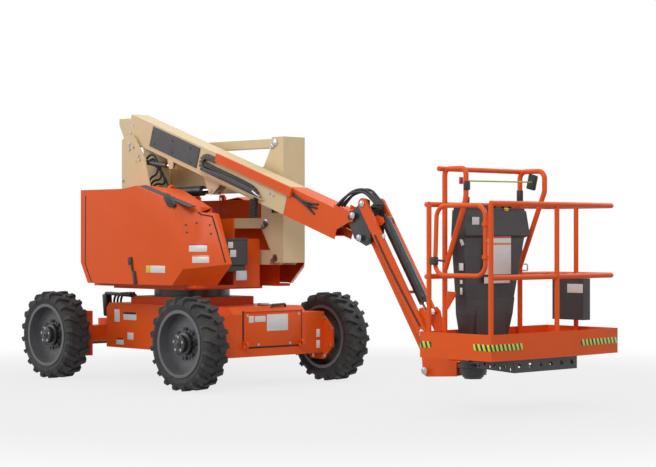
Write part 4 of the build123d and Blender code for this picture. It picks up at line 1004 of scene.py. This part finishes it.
@dataclass
class Hoods(Assembly):
    """The two moulded hoods with their louvre strips, seams, latches and blank labels."""

    half_width: float = 0.720
    rear: float = -0.750
    foot: float = 0.890
    waist: float = 1.080
    crest_x: float = 0.090
    step_x: float = 0.800
    wall: float = 0.006
    slope: float = 0.2826
    lip: float = 0.110
    lip_slope: float = 0.109
    fall: float = 0.105
    tail: float = -0.110
    tail_drop: float = 0.010
    crest_rise: float = 0.015
    nose_tip: float = 1.067
    nose_top_x: float = 0.8945
    overlap: float = 0.0005
    hinge_places: tuple[float, float] = (-0.475, -0.105)
    nose_facing: Point = (0.6552, -0.7365, 0.1680)

    def build(self) -> None:
        """Builds both hoods and dresses the right one's nose."""
        for name, side, inner, nose_inner, top, hinge in (
            ("hood_right", -1.0, 0.175, 0.430, 1.760, (0.162, 1.782)),
            ("hood_left", 1.0, 0.470, 0.470, 1.680, (0.459, 1.702))
        ):
            self._hood(name, side, inner, nose_inner, top, hinge)
            self._louvre(name, side, top)
            self._latch(name, side)
        self._nose_trim()
        for name, centre, size, header in (
            ("high", (0.827, 1.220), (0.159, 0.068), Finish.RED),
            ("low", (0.857, 1.123), (0.149, 0.068), Finish.AMBER)
        ):
            self.label(
                f"nose_label_{name}", "hood_right", tuple(self._on_nose(*centre)), size, (-9.67, 0, 41.65),
                header, 0.18
            )
        self.label(
            "side_label", "hood_right", self.at(0.371, -self.half_width - 0.0006, 1.030), (0.270, 0.062)
        )
        band = Bench.slab(
            "side_label_band", self.at(0.268, -self.half_width - 0.0012, 1.030), (0.060, 0.0016, 0.060),
            edge=0.0004
        )
        self.fit(band, "hood_right", Finish.BUTTON)

    def _hood(
        self, name: str, side: float, inner: float, nose_inner: float, top: float,
        hinge: tuple[float, float]
    ) -> None:
        """Hews, opens and hangs one hood.

        Args:
            name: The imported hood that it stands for.
            side: -1 on the right, 1 on the left.
            inner: Its inner edge's distance from the middle.
            nose_inner: The same at its nose.
            top: Its height.
            hinge: The hinge's distance from the middle, and height.
        """
        def spot(x: float, out: float, z: float) -> Point:
            """Gives a point by its distance out from the middle."""
            return self.at(x, side * out, z)

        def way(x: float, out: float, z: float) -> Point:
            """Gives a direction on this side."""
            return (x, side * out, z)

        def block(
            part: str, x0: float, x1: float, near: float, height: float, cuts: list[tuple[Point, Point]]
        ) -> bpy.types.Object:
            """Hews one block of the hood."""
            ys = sorted((self.slew.y + side * near, self.slew.y + side * self.half_width))
            low, high = (self.slew.x + x0, ys[0], self.foot), (self.slew.x + x1, ys[1], height)
            return Bench.hewn(part, low, high, cuts)

        bevel_plane = (spot(0.60, self.half_width, 1.63), way(0.655, 0.7366, 0.168))
        belly = (spot(0.60, self.half_width, self.foot), way(0.582, 0.5355, -0.612))
        crest, tail_top = top + self.crest_rise, top - self.tail_drop
        slant = [(spot(0.10, inner, 1.2), way(nose_inner - inner, -0.70, 0))] if nose_inner > inner else []
        rear = block("rear", self.rear, self.tail + self.overlap, inner, top + 0.1, [
            (spot(self.rear, 0, self.waist), way(-0.19, 0, -0.11)),
            (spot(self.tail, self.half_width, tail_top), way(0, -0.03, 1))])
        middle = block("middle", self.tail, self.step_x, inner, top + 0.1, [
            (spot(self.tail, self.half_width, tail_top), way(-0.125, -0.03, 1)),
            (spot(self.crest_x, self.half_width, crest), way(self.slope, self.lip_slope, 1)),
            (spot(self.crest_x, self.half_width - self.lip, crest + 0.012), way(self.slope, -self.fall, 1)),
            bevel_plane, belly] + slant)
        nose = block("nose", self.step_x - self.overlap, self.nose_tip, nose_inner, top - 0.20, [
            bevel_plane, belly, (spot(self.nose_top_x, 0, top - 0.245), way(0.435, 0, 0.1725)),
            (spot(self.step_x, 0, top - 0.230), way(0.159, 0, 1))])
        shell = Bench.united(Bench.united(middle, rear), nose)
        shell.name = shell.data.name = f"{name}_shell"
        inward = -side

        def is_open(centre: Vector, normal: Vector) -> bool:
            """Says whether a face is the open foot or the open inner side."""
            return (normal.z < -0.95 and centre.z < self.foot + 0.01) or normal.y * inward > 0.6

        Bench.shelled(shell, is_open, self.wall, 0.012)
        eyes = [shell]
        for x in self.hinge_places:
            eyes.append(
                Bench.turned(
                    "eye", spot(x - 0.020, hinge[0], hinge[1]), (1, 0, 0), [(0.016, 0.0), (0.016, 0.040)],
                    20
                )
            )
            eyes.append(
                Bench.slab(
                    "eye_leg", spot(x, hinge[0] + 0.016, hinge[1] - 0.034), (0.040, 0.032, 0.060),
                    edge=0.003
                )
            )
        piece = Bench.joined(f"{name}_shell", eyes)
        self.fit(piece, name, Finish.ORANGE)
        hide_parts(name)

    def _louvre(self, name: str, side: float, top: float) -> None:
        """Lays the louvre strip along the hood's sloping edge."""
        turn = (math.degrees(math.atan(self.lip_slope)) * -side, math.degrees(math.atan(self.slope)), 0)
        inset, count, pitch = 0.055, 76, 0.0092
        out = self.half_width - inset
        start = self.crest_x + 0.03

        def height(x: float) -> float:
            """Gives the strip's height at a place along it."""
            return top + self.crest_rise + self.lip_slope * inset - self.slope * (x - self.crest_x)

        middle = start + count * pitch / 2 - 0.004
        # The dark sheet under the slats is painted shade between and below them.
        shade_sheet = Bench.slab(
            f"{name}_louvre_shade_sheet", self.at(middle, side * out, height(middle) - 0.0010),
            (count * pitch * 1.045, 0.078, 0.004), turn, 0.001
        )
        self.fit(shade_sheet, name, Finish.PAINTED_SHADE)
        slat = Bench.slab("slat", (0, 0, 0), (0.0052, 0.074, 0.005), turn, 0.001)
        moves = [
            Matrix.Translation(
                Vector(self.at(start + i * pitch, side * out, height(start + i * pitch) + 0.0018))
            )
            for i in range(count)
        ]
        self.fit(Bench.repeat(f"{name}_louvre", slat, moves), name, Finish.GRILLE)

    def _latch(self, name: str, side: float) -> None:
        """Hangs the rubber pull latch on a hood's flank."""
        face = side * (self.half_width + 0.009)
        grip = Bench.slab("grip", self.at(0.014, face, 1.100), (0.054, 0.020, 0.070), (0, -8, 0), 0.009)
        waist = Bench.slab("waist", self.at(0.040, face, 1.040), (0.022, 0.014, 0.080), (0, -18, 0), 0.006)
        strap = Bench.slab("strap", self.at(0.078, face, 0.950), (0.040, 0.018, 0.120), (0, -12, 0), 0.008)
        self.fit(Bench.joined(f"{name}_latch", [grip, waist, strap]), name, Finish.HOSE)

    def _on_nose(self, x: float, z: float, proud: float = 0.001) -> Vector:
        """Gives the point of the right nose's slanted face at a place along it and a height."""
        y = (0.6552 * x + 0.1680 * z - 1.1972) / 0.7365
        return Vector(self.at(x, y, z)) + Vector(self.nose_facing) * proud

    def _nose_trim(self) -> None:
        """Draws the nose's seam line and the rear seam as dark strips of painted shade, and the vent cap and the
        colour plugs.
        """
        facing = Vector(self.nose_facing)
        # The nose seam's strips are near-black: painted shade along the nose's joint.
        seam = [
            self._on_nose(x, z)
            for x, z in ((0.786, 1.534), (0.806, 1.510), (0.884, 1.494), (0.936, 1.350), (1.022, 1.096))
        ]
        strips = [self._strip(a, b, facing) for a, b in zip(seam, seam[1:])]
        self.fit(Bench.joined("nose_seam", strips), "hood_right", Finish.PAINTED_SHADE)
        # The rear seam's dark strips are painted shade along the hood's rear edge and crease.
        edge = [
            Vector(self.at(x, -self.half_width - 0.0008, z))
            for x, z in ((-0.672, 1.690), (-0.679, 1.066), (-0.583, 0.905))
        ]
        strips = [self._strip(a, b, Vector((0, -1, 0))) for a, b in zip(edge, edge[1:])]
        self.fit(Bench.joined("rear_seam", strips), "hood_right", Finish.PAINTED_SHADE)
        cap = Bench.cut_plate(
            "vent_cap",
            [
                self.at(x, -0.726, z)
                for x, z in (
                    (0.496, 1.705), (0.566, 1.691), (0.663, 1.600), (0.640, 1.572), (0.559, 1.582),
                    (0.510, 1.648)
                )
            ],
            0.030, 0.006
        )
        self.fit(cap, "hood_right", Finish.HOSE)
        plugs = [
            tuple(self._on_nose(x, z, 0))
            for x, z in ((0.721, 1.419), (0.789, 1.436), (0.878, 1.419), (0.737, 1.354), (0.896, 1.342))
        ]
        self.fit(Bench.bolts("nose_plugs", plugs, self.nose_facing, 0.0065), "hood_right", Finish.HOSE)

    @staticmethod
    def _strip(
        start: Vector, end: Vector, facing: Vector, width: float = 0.011, thickness: float = 0.003
    ) -> bpy.types.Object:
        """Lays a straight seam strip between two points on a face.

        Args:
            start: Its first point.
            end: Its last point.
            facing: The way that the face looks.
            width: Its width.
            thickness: Its thickness.

        Returns:
            The strip.
        """
        run = end - start
        strip = Bench.slab("strip", (0, 0, 0), (width, thickness, run.length + width * 0.6), edge=0.001)
        up = run.normalized()
        across = facing.cross(up).normalized()
        turn = Matrix((across, up.cross(across), up)).transposed().to_4x4()
        strip.data.transform(Matrix.Translation((start + end) / 2) @ turn)
        return strip


@dataclass
class Turret(Assembly):
    """The ground control box, the fixed inner panel and the turret's loose fittings."""

    box_low: Point = (0.780, -0.410, 1.066)
    box_high: Point = (0.920, -0.115, 1.305)

    def build(self) -> None:
        """Builds the control box with its labels, and the panel inside the left hood."""
        body = "turret"
        (x0, y0, z0), (x1, y1, z1) = self.box_low, self.box_high
        case = Bench.slab(
            "control_case", self.at((x0 + x1) / 2, (y0 + y1) / 2, (z0 + z1) / 2),
            (x1 - x0, y1 - y0, z1 - z0), edge=0.012
        )
        tray = Bench.slab(
            "control_tray", self.at((x0 + x1) / 2 - 0.01, (y0 + y1) / 2, z0 - 0.028),
            (x1 - x0 - 0.03, y1 - y0 - 0.02, 0.062), edge=0.008
        )
        stand = Bench.slab(
            "control_stand", self.at(0.70, (y0 + y1) / 2, 1.12), (0.20, 0.20, 0.14), edge=0.006
        )
        box = Bench.joined("ground_control", [case, tray, stand])
        self.fit(box, body, Finish.MOULDED)
        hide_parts("ground_control_box")
        for name, y, z, size in (
            ("high", -0.320, 1.244, (0.057, 0.053)), ("low", -0.291, 1.170, (0.069, 0.062))
        ):
            self.label(f"control_label_{name}", body, self.at(x1 + 0.0005, y, z), size, (0, 0, 90))
        # Dark strip of painted shade along the control box's lid seam.
        seam = Bench.slab(
            "control_seam", self.at(x1 + 0.0002, (y0 + y1) / 2, z1 - 0.022),
            (0.0016, y1 - y0 - 0.03, 0.004), edge=0.0006
        )
        self.fit(seam, body, Finish.PAINTED_SHADE)
        foot = Bench.slab(
            "control_bracket", self.at(x1 - 0.02, -0.181, 0.975), (0.012, 0.128, 0.085), edge=0.002
        )
        self.fit(foot, body, Finish.ZINC)
        panel = Bench.slab("inner_panel", self.at(0.0, 0.460, 1.540), (1.40, 0.006, 0.240), edge=0.002)
        self.fit(panel, body, Finish.ORANGE)
        ring = Bench.bolts(
            "slew_bolts",
            [
                self.at(0.30 * math.cos(math.tau * i / 12), 0.30 * math.sin(math.tau * i / 12), 0.889)
                for i in range(12)
            ],
            (0, 0, 1), 0.010
        )
        self.fit(ring, body, Finish.ZINC)


@dataclass
class Tower(Assembly):
    """Pin heads, keepers and hoses of the tower."""

    cheek: float = 0.170

    def build(self) -> None:
        """Adds the pin heads with their keepers, and the hoses round the boom's pivot."""
        for name, body, x, z in (
            ("lower_arm_front", "mid_upright", 0.962, 1.127),
            ("lower_link_front", "mid_upright", 0.837, 1.440),
            ("upper_arm_front", "mid_upright", 0.834, 1.840),
            ("upper_link_front", "mid_upright", 0.962, 2.159)
        ):
            head = Bench.turned(f"{name}_pin_head", self.at(x, self.cheek + 0.001, z), (0, -1, 0),
                                [(0.036, 0.0), (0.036, 0.006), (0.022, 0.010)], 28)
            keeper = Bench.slab(
                f"{name}_keeper", self.at(x - 0.034, self.cheek - 0.004, z - 0.030), (0.056, 0.008, 0.020),
                (0, 40, 0), 0.003
            )
            bolt = Bench.bolts(
                "keeper_bolt", [self.at(x - 0.050, self.cheek - 0.008, z - 0.044)], (0, -1, 0), 0.008
            )
            self.fit(Bench.joined(f"{name}_pin_set", [head, keeper, bolt]), body, Finish.ZINC)
        low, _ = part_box("upper_upright")
        face = low[1] - self.slew.y
        spots = [
            self.at(x, face, z)
            for x, z in (
                (-0.776, 2.202), (-0.719, 2.171), (-0.776, 2.150), (-0.637, 2.082), (-0.621, 2.044),
                (-0.875, 1.851)
            )
        ]
        self.fit(Bench.bolts("upright_bolts", spots, (0, -1, 0), 0.009), "upper_upright", Finish.ZINC)
        for index in range(4):
            drop, shift = 0.050 * index, 0.028 * index
            hose = Bench.hose(
                f"pivot_hose_{index}",
                [
                    self.at(-0.60, -0.060 + shift, 2.06 - 0.02 * index),
                    self.at(-0.52, -0.070 + shift, 2.12 - drop),
                    self.at(-0.40, -0.080 + shift, 2.02 - drop),
                    self.at(-0.42 + shift, -0.080 + shift, 1.90 - drop),
                    self.at(-0.54, -0.070 + shift, 1.88 - drop / 2),
                    self.at(-0.60, -0.060 + shift, 1.80 - drop / 3)
                ],
                0.010, 8
            )
            self.fit(hose, "upper_upright", Finish.HOSE)


@dataclass
class Boom(Assembly):
    """The energy chain with its hoses, screws, boot and nose hoses of the telescopic boom."""

    along: tuple[float, float] = (0.9489, -0.3157)
    loop: tuple[float, float] = (0.350, 1.980)
    bend: float = 0.0645
    pitch: float = 0.0290
    depth: float = 0.045

    def build(self) -> None:
        """Adds the cover's bolts, the chain, the nose's screws and the hoses."""
        body = "main_boom"
        low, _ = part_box("boom_cover")
        face = low[1] - self.slew.y
        spots = [
            self.at(x, face, z)
            for x, z in (
                (-0.45, 2.30), (-0.43, 2.19), (0.10, 2.13), (0.10, 2.00), (-0.16, 2.21), (-0.16, 2.10)
            )
        ]
        self.fit(Bench.bolts("cover_bolts", spots, (0, -1, 0), 0.007), body, Finish.BLACK)
        screws = [
            self.at(x, -0.101, z)
            for x, z in ((1.191, 1.693), (1.237, 1.677), (-0.771, 2.384), (-0.804, 2.309))
        ]
        self.fit(Bench.bolts("nose_screws", screws, (0, -1, 0), 0.009), body, Finish.ZINC)
        self._chain(body)
        for index, end in enumerate(((1.80, 1.556), (1.765, 1.508), (1.815, 1.590))):
            hose = Bench.hose(
                f"nose_hose_{index}",
                [
                    self.at(1.500, -0.104, 1.668 + 0.012 * index), self.at(1.560, -0.118, 1.655),
                    self.at(1.66, -0.122, 1.590 + 0.008 * index), self.at(end[0], -0.104, end[1])
                ],
                0.009, 8
            )
            self.fit(hose, "main_boom", Finish.HOSE)

    def _chain(self, body: str) -> None:
        """Lays the links round their bend, the hoses inside and the boot at the end."""
        low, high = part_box("energy_chain")
        side, width = (low[1] + high[1]) / 2 - self.slew.y, high[1] - low[1]
        ax, az = self.along
        cx, cz = self.loop

        def spot(run: float, lift: float) -> Vector:
            """Gives a point by its distance along the boom and off the loop's middle line."""
            return Vector(self.at(cx + run * ax - lift * az, side, cz + run * az + lift * ax))

        path = [spot(0.10 - 0.020 * i, self.bend) for i in range(5)]
        path += [
            spot(-self.bend * math.sin(math.pi * i / 16), self.bend * math.cos(math.pi * i / 16))
            for i in range(1, 16)
        ]
        path += [spot(0.03 * i, -self.bend + 0.018 * min(1.0, i / 8)) for i in range(24)]
        path += [spot(0.72, -0.043), spot(0.745, -0.060)]
        link = Bench.slab("link", (0, 0, 0), (self.pitch * 0.90, width, self.depth), edge=0.004)
        rib = Bench.slab("rib", (0, 0, 0), (self.pitch * 0.34, width * 1.04, self.depth * 1.12), edge=0.002)
        link = Bench.joined("link", [link, rib])
        moves, walked, last = [], 0.0, path[0]
        for before, after in zip(path, path[1:]):
            run = after - before
            while walked <= run.length:
                place = before + run.normalized() * walked
                moves.append(Matrix.Translation(place) @ Matrix.Rotation(-math.atan2(run.z, run.x), 4, "Y"))
                walked += self.pitch
            walked -= run.length
        chain = Bench.repeat("energy_chain_links", link, moves)
        self.fit(chain, body, Finish.CHAIN)
        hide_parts("energy_chain")
        for index, lift in enumerate((-0.022, -0.004)):
            run = Bench.hose(
                f"chain_hose_{index}",
                [
                    tuple(spot(-0.02, lift)), tuple(spot(0.20, lift)), tuple(spot(0.50, lift)),
                    tuple(spot(0.70, lift - 0.01)), self.at(1.03, side, 1.70), self.at(1.01, side, 1.64)
                ],
                0.015, 9
            )
            self.fit(run, body, Finish.HOSE)
        bracket = Bench.slab(
            "chain_bracket", self.at(1.045, side - 0.01, 1.690), (0.115, width * 0.8, 0.020), (0, 30, 0),
            0.005
        )
        self.fit(bracket, body, Finish.ZINC)
        rings = [(0.030, 0.0)]
        for step in range(8):
            rings += [
                (0.039, 0.006 + step * 0.021), (0.039, 0.017 + step * 0.021), (0.033, 0.021 + step * 0.021)
            ]
        boot = Bench.turned("chain_boot", self.at(1.0, side, 1.652), (0, 0, -1), rings, 24, 0)
        self.fit(boot, body, Finish.HOSE)
        strip = Bench.slab(
            "tray_strip", tuple(spot(0.36, -0.094)), (0.74, width * 0.9, 0.008),
            (0, math.degrees(math.atan2(-az, ax)), 0), 0.002
        )
        self.fit(strip, body, Finish.CREAM)


@dataclass
class Jib(Assembly):
    """Washers, pins and hoses at both ends of the jib."""

    def build(self) -> None:
        """Adds pin heads at the jib's pins and the hoses over its top."""
        for name, body, at, y in (
            ("nose_pin", "level_bracket", (2.226, 1.492), -0.109),
            ("link_pin", "level_bracket", (2.303, 1.306), -0.109),
            ("jib_pin", "level_bracket", (2.350, 1.588), -0.122),
            ("bracket_pin", "platform_bracket", (3.025, 0.550), -0.120),
            ("lower_pin", "platform_bracket", (3.055, 0.248), -0.120)
        ):
            head = Bench.turned(
                f"{name}_head", self.at(at[0], y, at[1]), (0, -1, 0),
                [(0.030, 0.0), (0.030, 0.004), (0.018, 0.009)], 28
            )
            self.fit(head, body, Finish.ZINC)
        for index in range(4):
            y, lift = -0.090 + 0.030 * index, 0.020 * (index % 2)
            hose = Bench.hose(
                f"nose_loop_{index}",
                [
                    self.at(2.02, y, 1.575), self.at(2.10, y, 1.640 + lift), self.at(2.22, y, 1.690 + lift),
                    self.at(2.34, y, 1.690 + lift), self.at(2.42, y, 1.640), self.at(2.49, y, 1.575)
                ],
                0.011, 8
            )
            PAINT.dress(hose, Finish.HOSE)
            self.made.append(hose.name)
            self.at(2.16, y, 1.66)
            self.at(2.44, y, 1.62)
            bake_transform(hose)
        thin = Bench.hose(
            "link_hose",
            [
                self.at(2.50, -0.122, 1.33), self.at(2.581, -0.124, 1.20), self.at(2.78, -0.124, 0.91),
                self.at(3.006, -0.122, 0.604)
            ],
            0.007, 8
        )
        self.fit(thin, "jib", Finish.HOSE)
        over = Bench.hose(
            "jib_hose",
            [
                self.at(2.56, -0.060, 1.500), self.at(2.70, -0.060, 1.270), self.at(2.88, -0.060, 0.985),
                self.at(2.98, -0.060, 0.830)
            ],
            0.012, 8
        )
        self.fit(over, "jib", Finish.HOSE)
        self.label("jib_label", "jib", self.at(2.603, -0.120, 1.322), (0.034, 0.034), (0, 58, 0))


@dataclass
class Platform(Assembly):
    """The near guard loop, tapes, labels, controls, latch and cable of the work platform."""

    side: float = -0.748
    band: float = 0.512
    tall: float = 0.048
    rail: float = 0.020
    guard_y: float = 0.500
    turntable: float = 3.465
    case_face: float = 3.790

    def build(self) -> None:
        """Adds everything that the platform carries."""
        self._guard()
        self._tapes()
        self._console()
        self._gate()
        self.label("document_label", "platform", self.at(3.988, 0.6155, 0.910), (0.155, 0.070))
        discs = Bench.turned(
            "rotator_discs", self.at(self.turntable, 0.0, 0.215), (0, 0, 1),
            [
                (0.078, 0.0), (0.084, 0.006), (0.084, 0.036), (0.108, 0.040), (0.108, 0.074),
                (0.122, 0.078), (0.122, 0.100), (0.108, 0.104)
            ],
            40
        )
        self.fit(discs, "platform_bracket", Finish.GREY)
        ring = Bench.bolts(
            "rotator_bolts",
            [
                self.at(
                    self.turntable + 0.095 * math.cos(math.tau * i / 8), 0.095 * math.sin(math.tau * i / 8),
                    0.254
                )
                for i in range(8)
            ],
            (0, 0, -1), 0.007
        )
        self.fit(ring, "platform_bracket", Finish.ZINC)

    def _guard(self) -> None:
        """Bends the near guard loop with its gusset, and hangs the stop cable between the loops."""
        loop = Bench.tube(
            "near_guard_loop",
            [
                self.at(3.623, -self.guard_y, 0.430), self.at(3.623, -self.guard_y, 1.830),
                self.at(3.837, -self.guard_y, 1.830), self.at(3.837, -self.guard_y, 1.600),
                self.at(3.628, -self.guard_y, 1.070)
            ],
            self.rail, 0.105, 12
        )
        self.fit(loop, "platform", Finish.ORANGE)
        gusset = Bench.cut_plate(
            "guard_gusset",
            [
                self.at(3.640, -0.504, 0.905), self.at(3.745, -0.504, 0.900), self.at(3.735, -0.504, 0.868),
                self.at(3.640, -0.504, 0.745)
            ],
            0.008, 0.002
        )
        self.fit(gusset, "platform", Finish.ORANGE)
        line = bpy.data.curves.new("stop_cable", "CURVE")
        line.dimensions, line.bevel_depth, line.bevel_resolution, line.use_fill_caps = "3D", 0.006, 3, True
        run = line.splines.new("NURBS")
        run.points.add(2)
        ends = (Vector(self.at(3.845, -0.484, 1.735)), Vector(self.at(3.760, 0.366, 1.745)))
        for point, place in zip(run.points, (ends[0], (ends[0] + ends[1]) / 2, ends[1])):
            point.co = (*place, 1.0)
        run.order_u, run.use_endpoint_u = 3, True
        cable = bpy.data.objects.new("stop_cable", line)
        bpy.context.scene.collection.objects.link(cable)
        PAINT.dress_curve(cable, Finish.YELLOW)
        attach(cable, "platform")
        tuple(ends[0])
        self.made.append(cable.name)
        wedge = Bench.slab(
            "switch_wedge", self.at(3.748, 0.380, 1.745), (0.080, 0.034, 0.120), (0, 14, 0), 0.010
        )
        clip = Bench.slab(
            "switch_clip", self.at(3.845, -self.guard_y, 1.700), (0.036, 0.050, 0.070), edge=0.010
        )
        wrap = Bench.turned(
            "post_wrap", self.at(3.623, 0.380, 1.597), (0, 0, 1), [(0.026, 0.0), (0.026, 0.086)], 20
        )
        self.fit(Bench.joined("stop_switches", [wedge, clip, wrap]), "platform", Finish.HOSE)
        red = Bench.slab(
            "switch_flag", self.at(3.788, -self.guard_y, 1.738), (0.020, 0.030, 0.053), edge=0.004
        )
        self.fit(red, "platform", Finish.RED)
        ring = Bench.tube(
            "hook_ring",
            [
                self.at(3.645, 0.380, 1.10), self.at(3.70, 0.380, 1.10), self.at(3.70, 0.380, 1.05),
                self.at(3.645, 0.380, 1.05)
            ],
            0.006, 0.02, 8
        )
        self.fit(ring, "platform", Finish.ZINC)

    def _tapes(self) -> None:
        """Sticks the striped tapes on the toe boards."""
        out = self.side - 0.0009
        runs = {
            "side_rear": [(3.601, out), (3.712, out)], "side_front": [(4.130, out), (4.316, out)],
            "front_near": [(4.3030, -0.744), (4.3175, -0.417)],
            "front_middle": [(4.3209, 0.267), (4.3209, 0.337)],
            "front_far": [(4.3205, 0.337), (4.3030, 0.744)]
        }
        for name, ((x0, y0), (x1, y1)) in runs.items():
            turn = math.degrees(math.atan2(y1 - y0, x1 - x0))
            tape = Bench.slab(
                f"tape_{name}", self.at((x0 + x1) / 2, (y0 + y1) / 2, self.band),
                (math.hypot(x1 - x0, y1 - y0), 0.0016, self.tall), (0, 0, turn), 0.0004
            )
            self.fit(tape, "platform", Finish.TAPE)

    def _console(self) -> None:
        """Dresses the operator's console with labels, knobs, joystick and strap."""
        body, face = "platform", self.case_face
        self.label(
            "console_label_small", body, self.at(face - 0.006, -0.331, 1.437), (0.082, 0.058), (0, 0, 90)
        )
        self.label(
            "console_label_large", body, self.at(face - 0.004, -0.076, 1.182), (0.308, 0.310), (0, 0, 90),
            Finish.RED, 0.10
        )
        line = Bench.slab(
            "console_label_line", self.at(face - 0.0032, -0.076, 1.262), (0.0016, 0.300, 0.016), edge=0.0004
        )
        self.fit(line, body, Finish.AMBER)
        knobs = []
        for index, y in enumerate((-0.34, -0.26, -0.18, -0.06, 0.04, 0.12)):
            knobs.append(
                Bench.turned(
                    f"knob_{index}", self.at(3.735, y, 1.520), (0.15, 0, 1),
                    [(0.010, 0.0), (0.008, 0.020), (0.013, 0.026), (0.013, 0.038)], 16, 0.001
                )
            )
        self.fit(Bench.joined("console_knobs", knobs), body, Finish.HOSE)
        stick = Bench.turned(
            "joystick", self.at(3.730, -0.370, 1.515), (0.05, 0, 1),
            [(0.026, 0.0), (0.020, 0.012), (0.012, 0.026), (0.013, 0.055), (0.019, 0.070), (0.017, 0.105)],
            20, 0.002
        )
        self.fit(stick, body, Finish.HOSE)
        button = Bench.turned(
            "stop_button", self.at(3.756, 0.055, 1.515), (0.1, 0, 1),
            [(0.018, 0.0), (0.018, 0.012), (0.022, 0.015), (0.020, 0.024)], 20, 0.001
        )
        self.fit(button, body, Finish.BUTTON)
        self.label(
            "console_label_low", body, self.at(face - 0.004, -0.085, 0.985), (0.300, 0.052), (0, 0, 90),
            Finish.AMBER, 0.12
        )
        for name, y, z, size in (
            ("strap", -0.448, 1.290, (0.030, 0.085)), ("square_high", -0.448, 1.089, (0.044, 0.056)),
            ("square_mid", -0.448, 0.975, (0.026, 0.030)), ("square_low", -0.448, 0.905, (0.022, 0.052))
        ):
            self.label(
                f"console_{name}", body, self.at(3.742, y, z), size, (0, -24 if name == "strap" else 0, 0)
            )
        # Dark strip of painted shade along the console's seam.
        seam = Bench.slab(
            "console_seam", self.at(face - 0.010, -0.15, 1.352), (0.003, 0.60, 0.006), edge=0.001
        )
        self.fit(seam, body, Finish.PAINTED_SHADE)

    def _gate(self) -> None:
        """Adds the gate's latch and its handle."""
        case = Bench.slab("latch_case", self.at(3.735, -0.742, 1.136), (0.060, 0.036, 0.060), edge=0.006)
        handle = Bench.slab(
            "latch_handle", self.at(3.800, -0.750, 1.140), (0.110, 0.014, 0.016), (0, 4, 0), 0.005
        )
        self.fit(Bench.joined("gate_latch", [case, handle]), "gate", Finish.HOSE)


NODE_FINISH: dict[str, Finish] = {
    "chassis_frame": Finish.ORANGE, "drive_axle": Finish.ORANGE, "steer_axle": Finish.ORANGE,
    "steering_knuckle_right": Finish.ORANGE, "steering_knuckle_left": Finish.ORANGE, "tie_rod": Finish.GREY,
    "control_console": Finish.MOULDED,
}


def dress_nodes(frame: dict) -> None:
    """Lays the finish of its slot, or a nearer one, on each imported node.
    """
    by_slot = {finish.value: finish for finish in Finish}
    for part in frame["record"]["subparts"]:
        node = frame["nodes"][part["node"]]
        finish = NODE_FINISH.get(part["node"], by_slot.get(part["material_slot"], Finish.BLACK))
        PAINT.dress(node, finish)


def slew_axis(frame: dict) -> Vector:
    """Finds the slew axis on the floor.


    Returns:
        Its point at floor height.
    """
    joint = next(j for j in frame["record"]["behaviour"]["joints"] if j["name"] == "swing")
    return Vector((joint["pos_m"][0], joint["pos_m"][1], 0.0))


def main() -> None:
    """Builds the stage and each sub-assembly."""
    logging.basicConfig(level=logging.INFO, format="%(message)s")
    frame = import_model()
    RECORD_SLOTS.update(m["slot"] for m in frame["record"]["materials"])
    slew = slew_axis(frame)
    Studio(slew).build()
    dress_nodes(frame)
    for assembly in (Wheels, Chassis, Hoods, Turret, Tower, Boom, Jib, Platform):
        made = assembly(slew)
        made.build()
        LOG.info("%s: %d pieces", assembly.__name__, len(made.made))


if __name__ == "__main__":
    main()
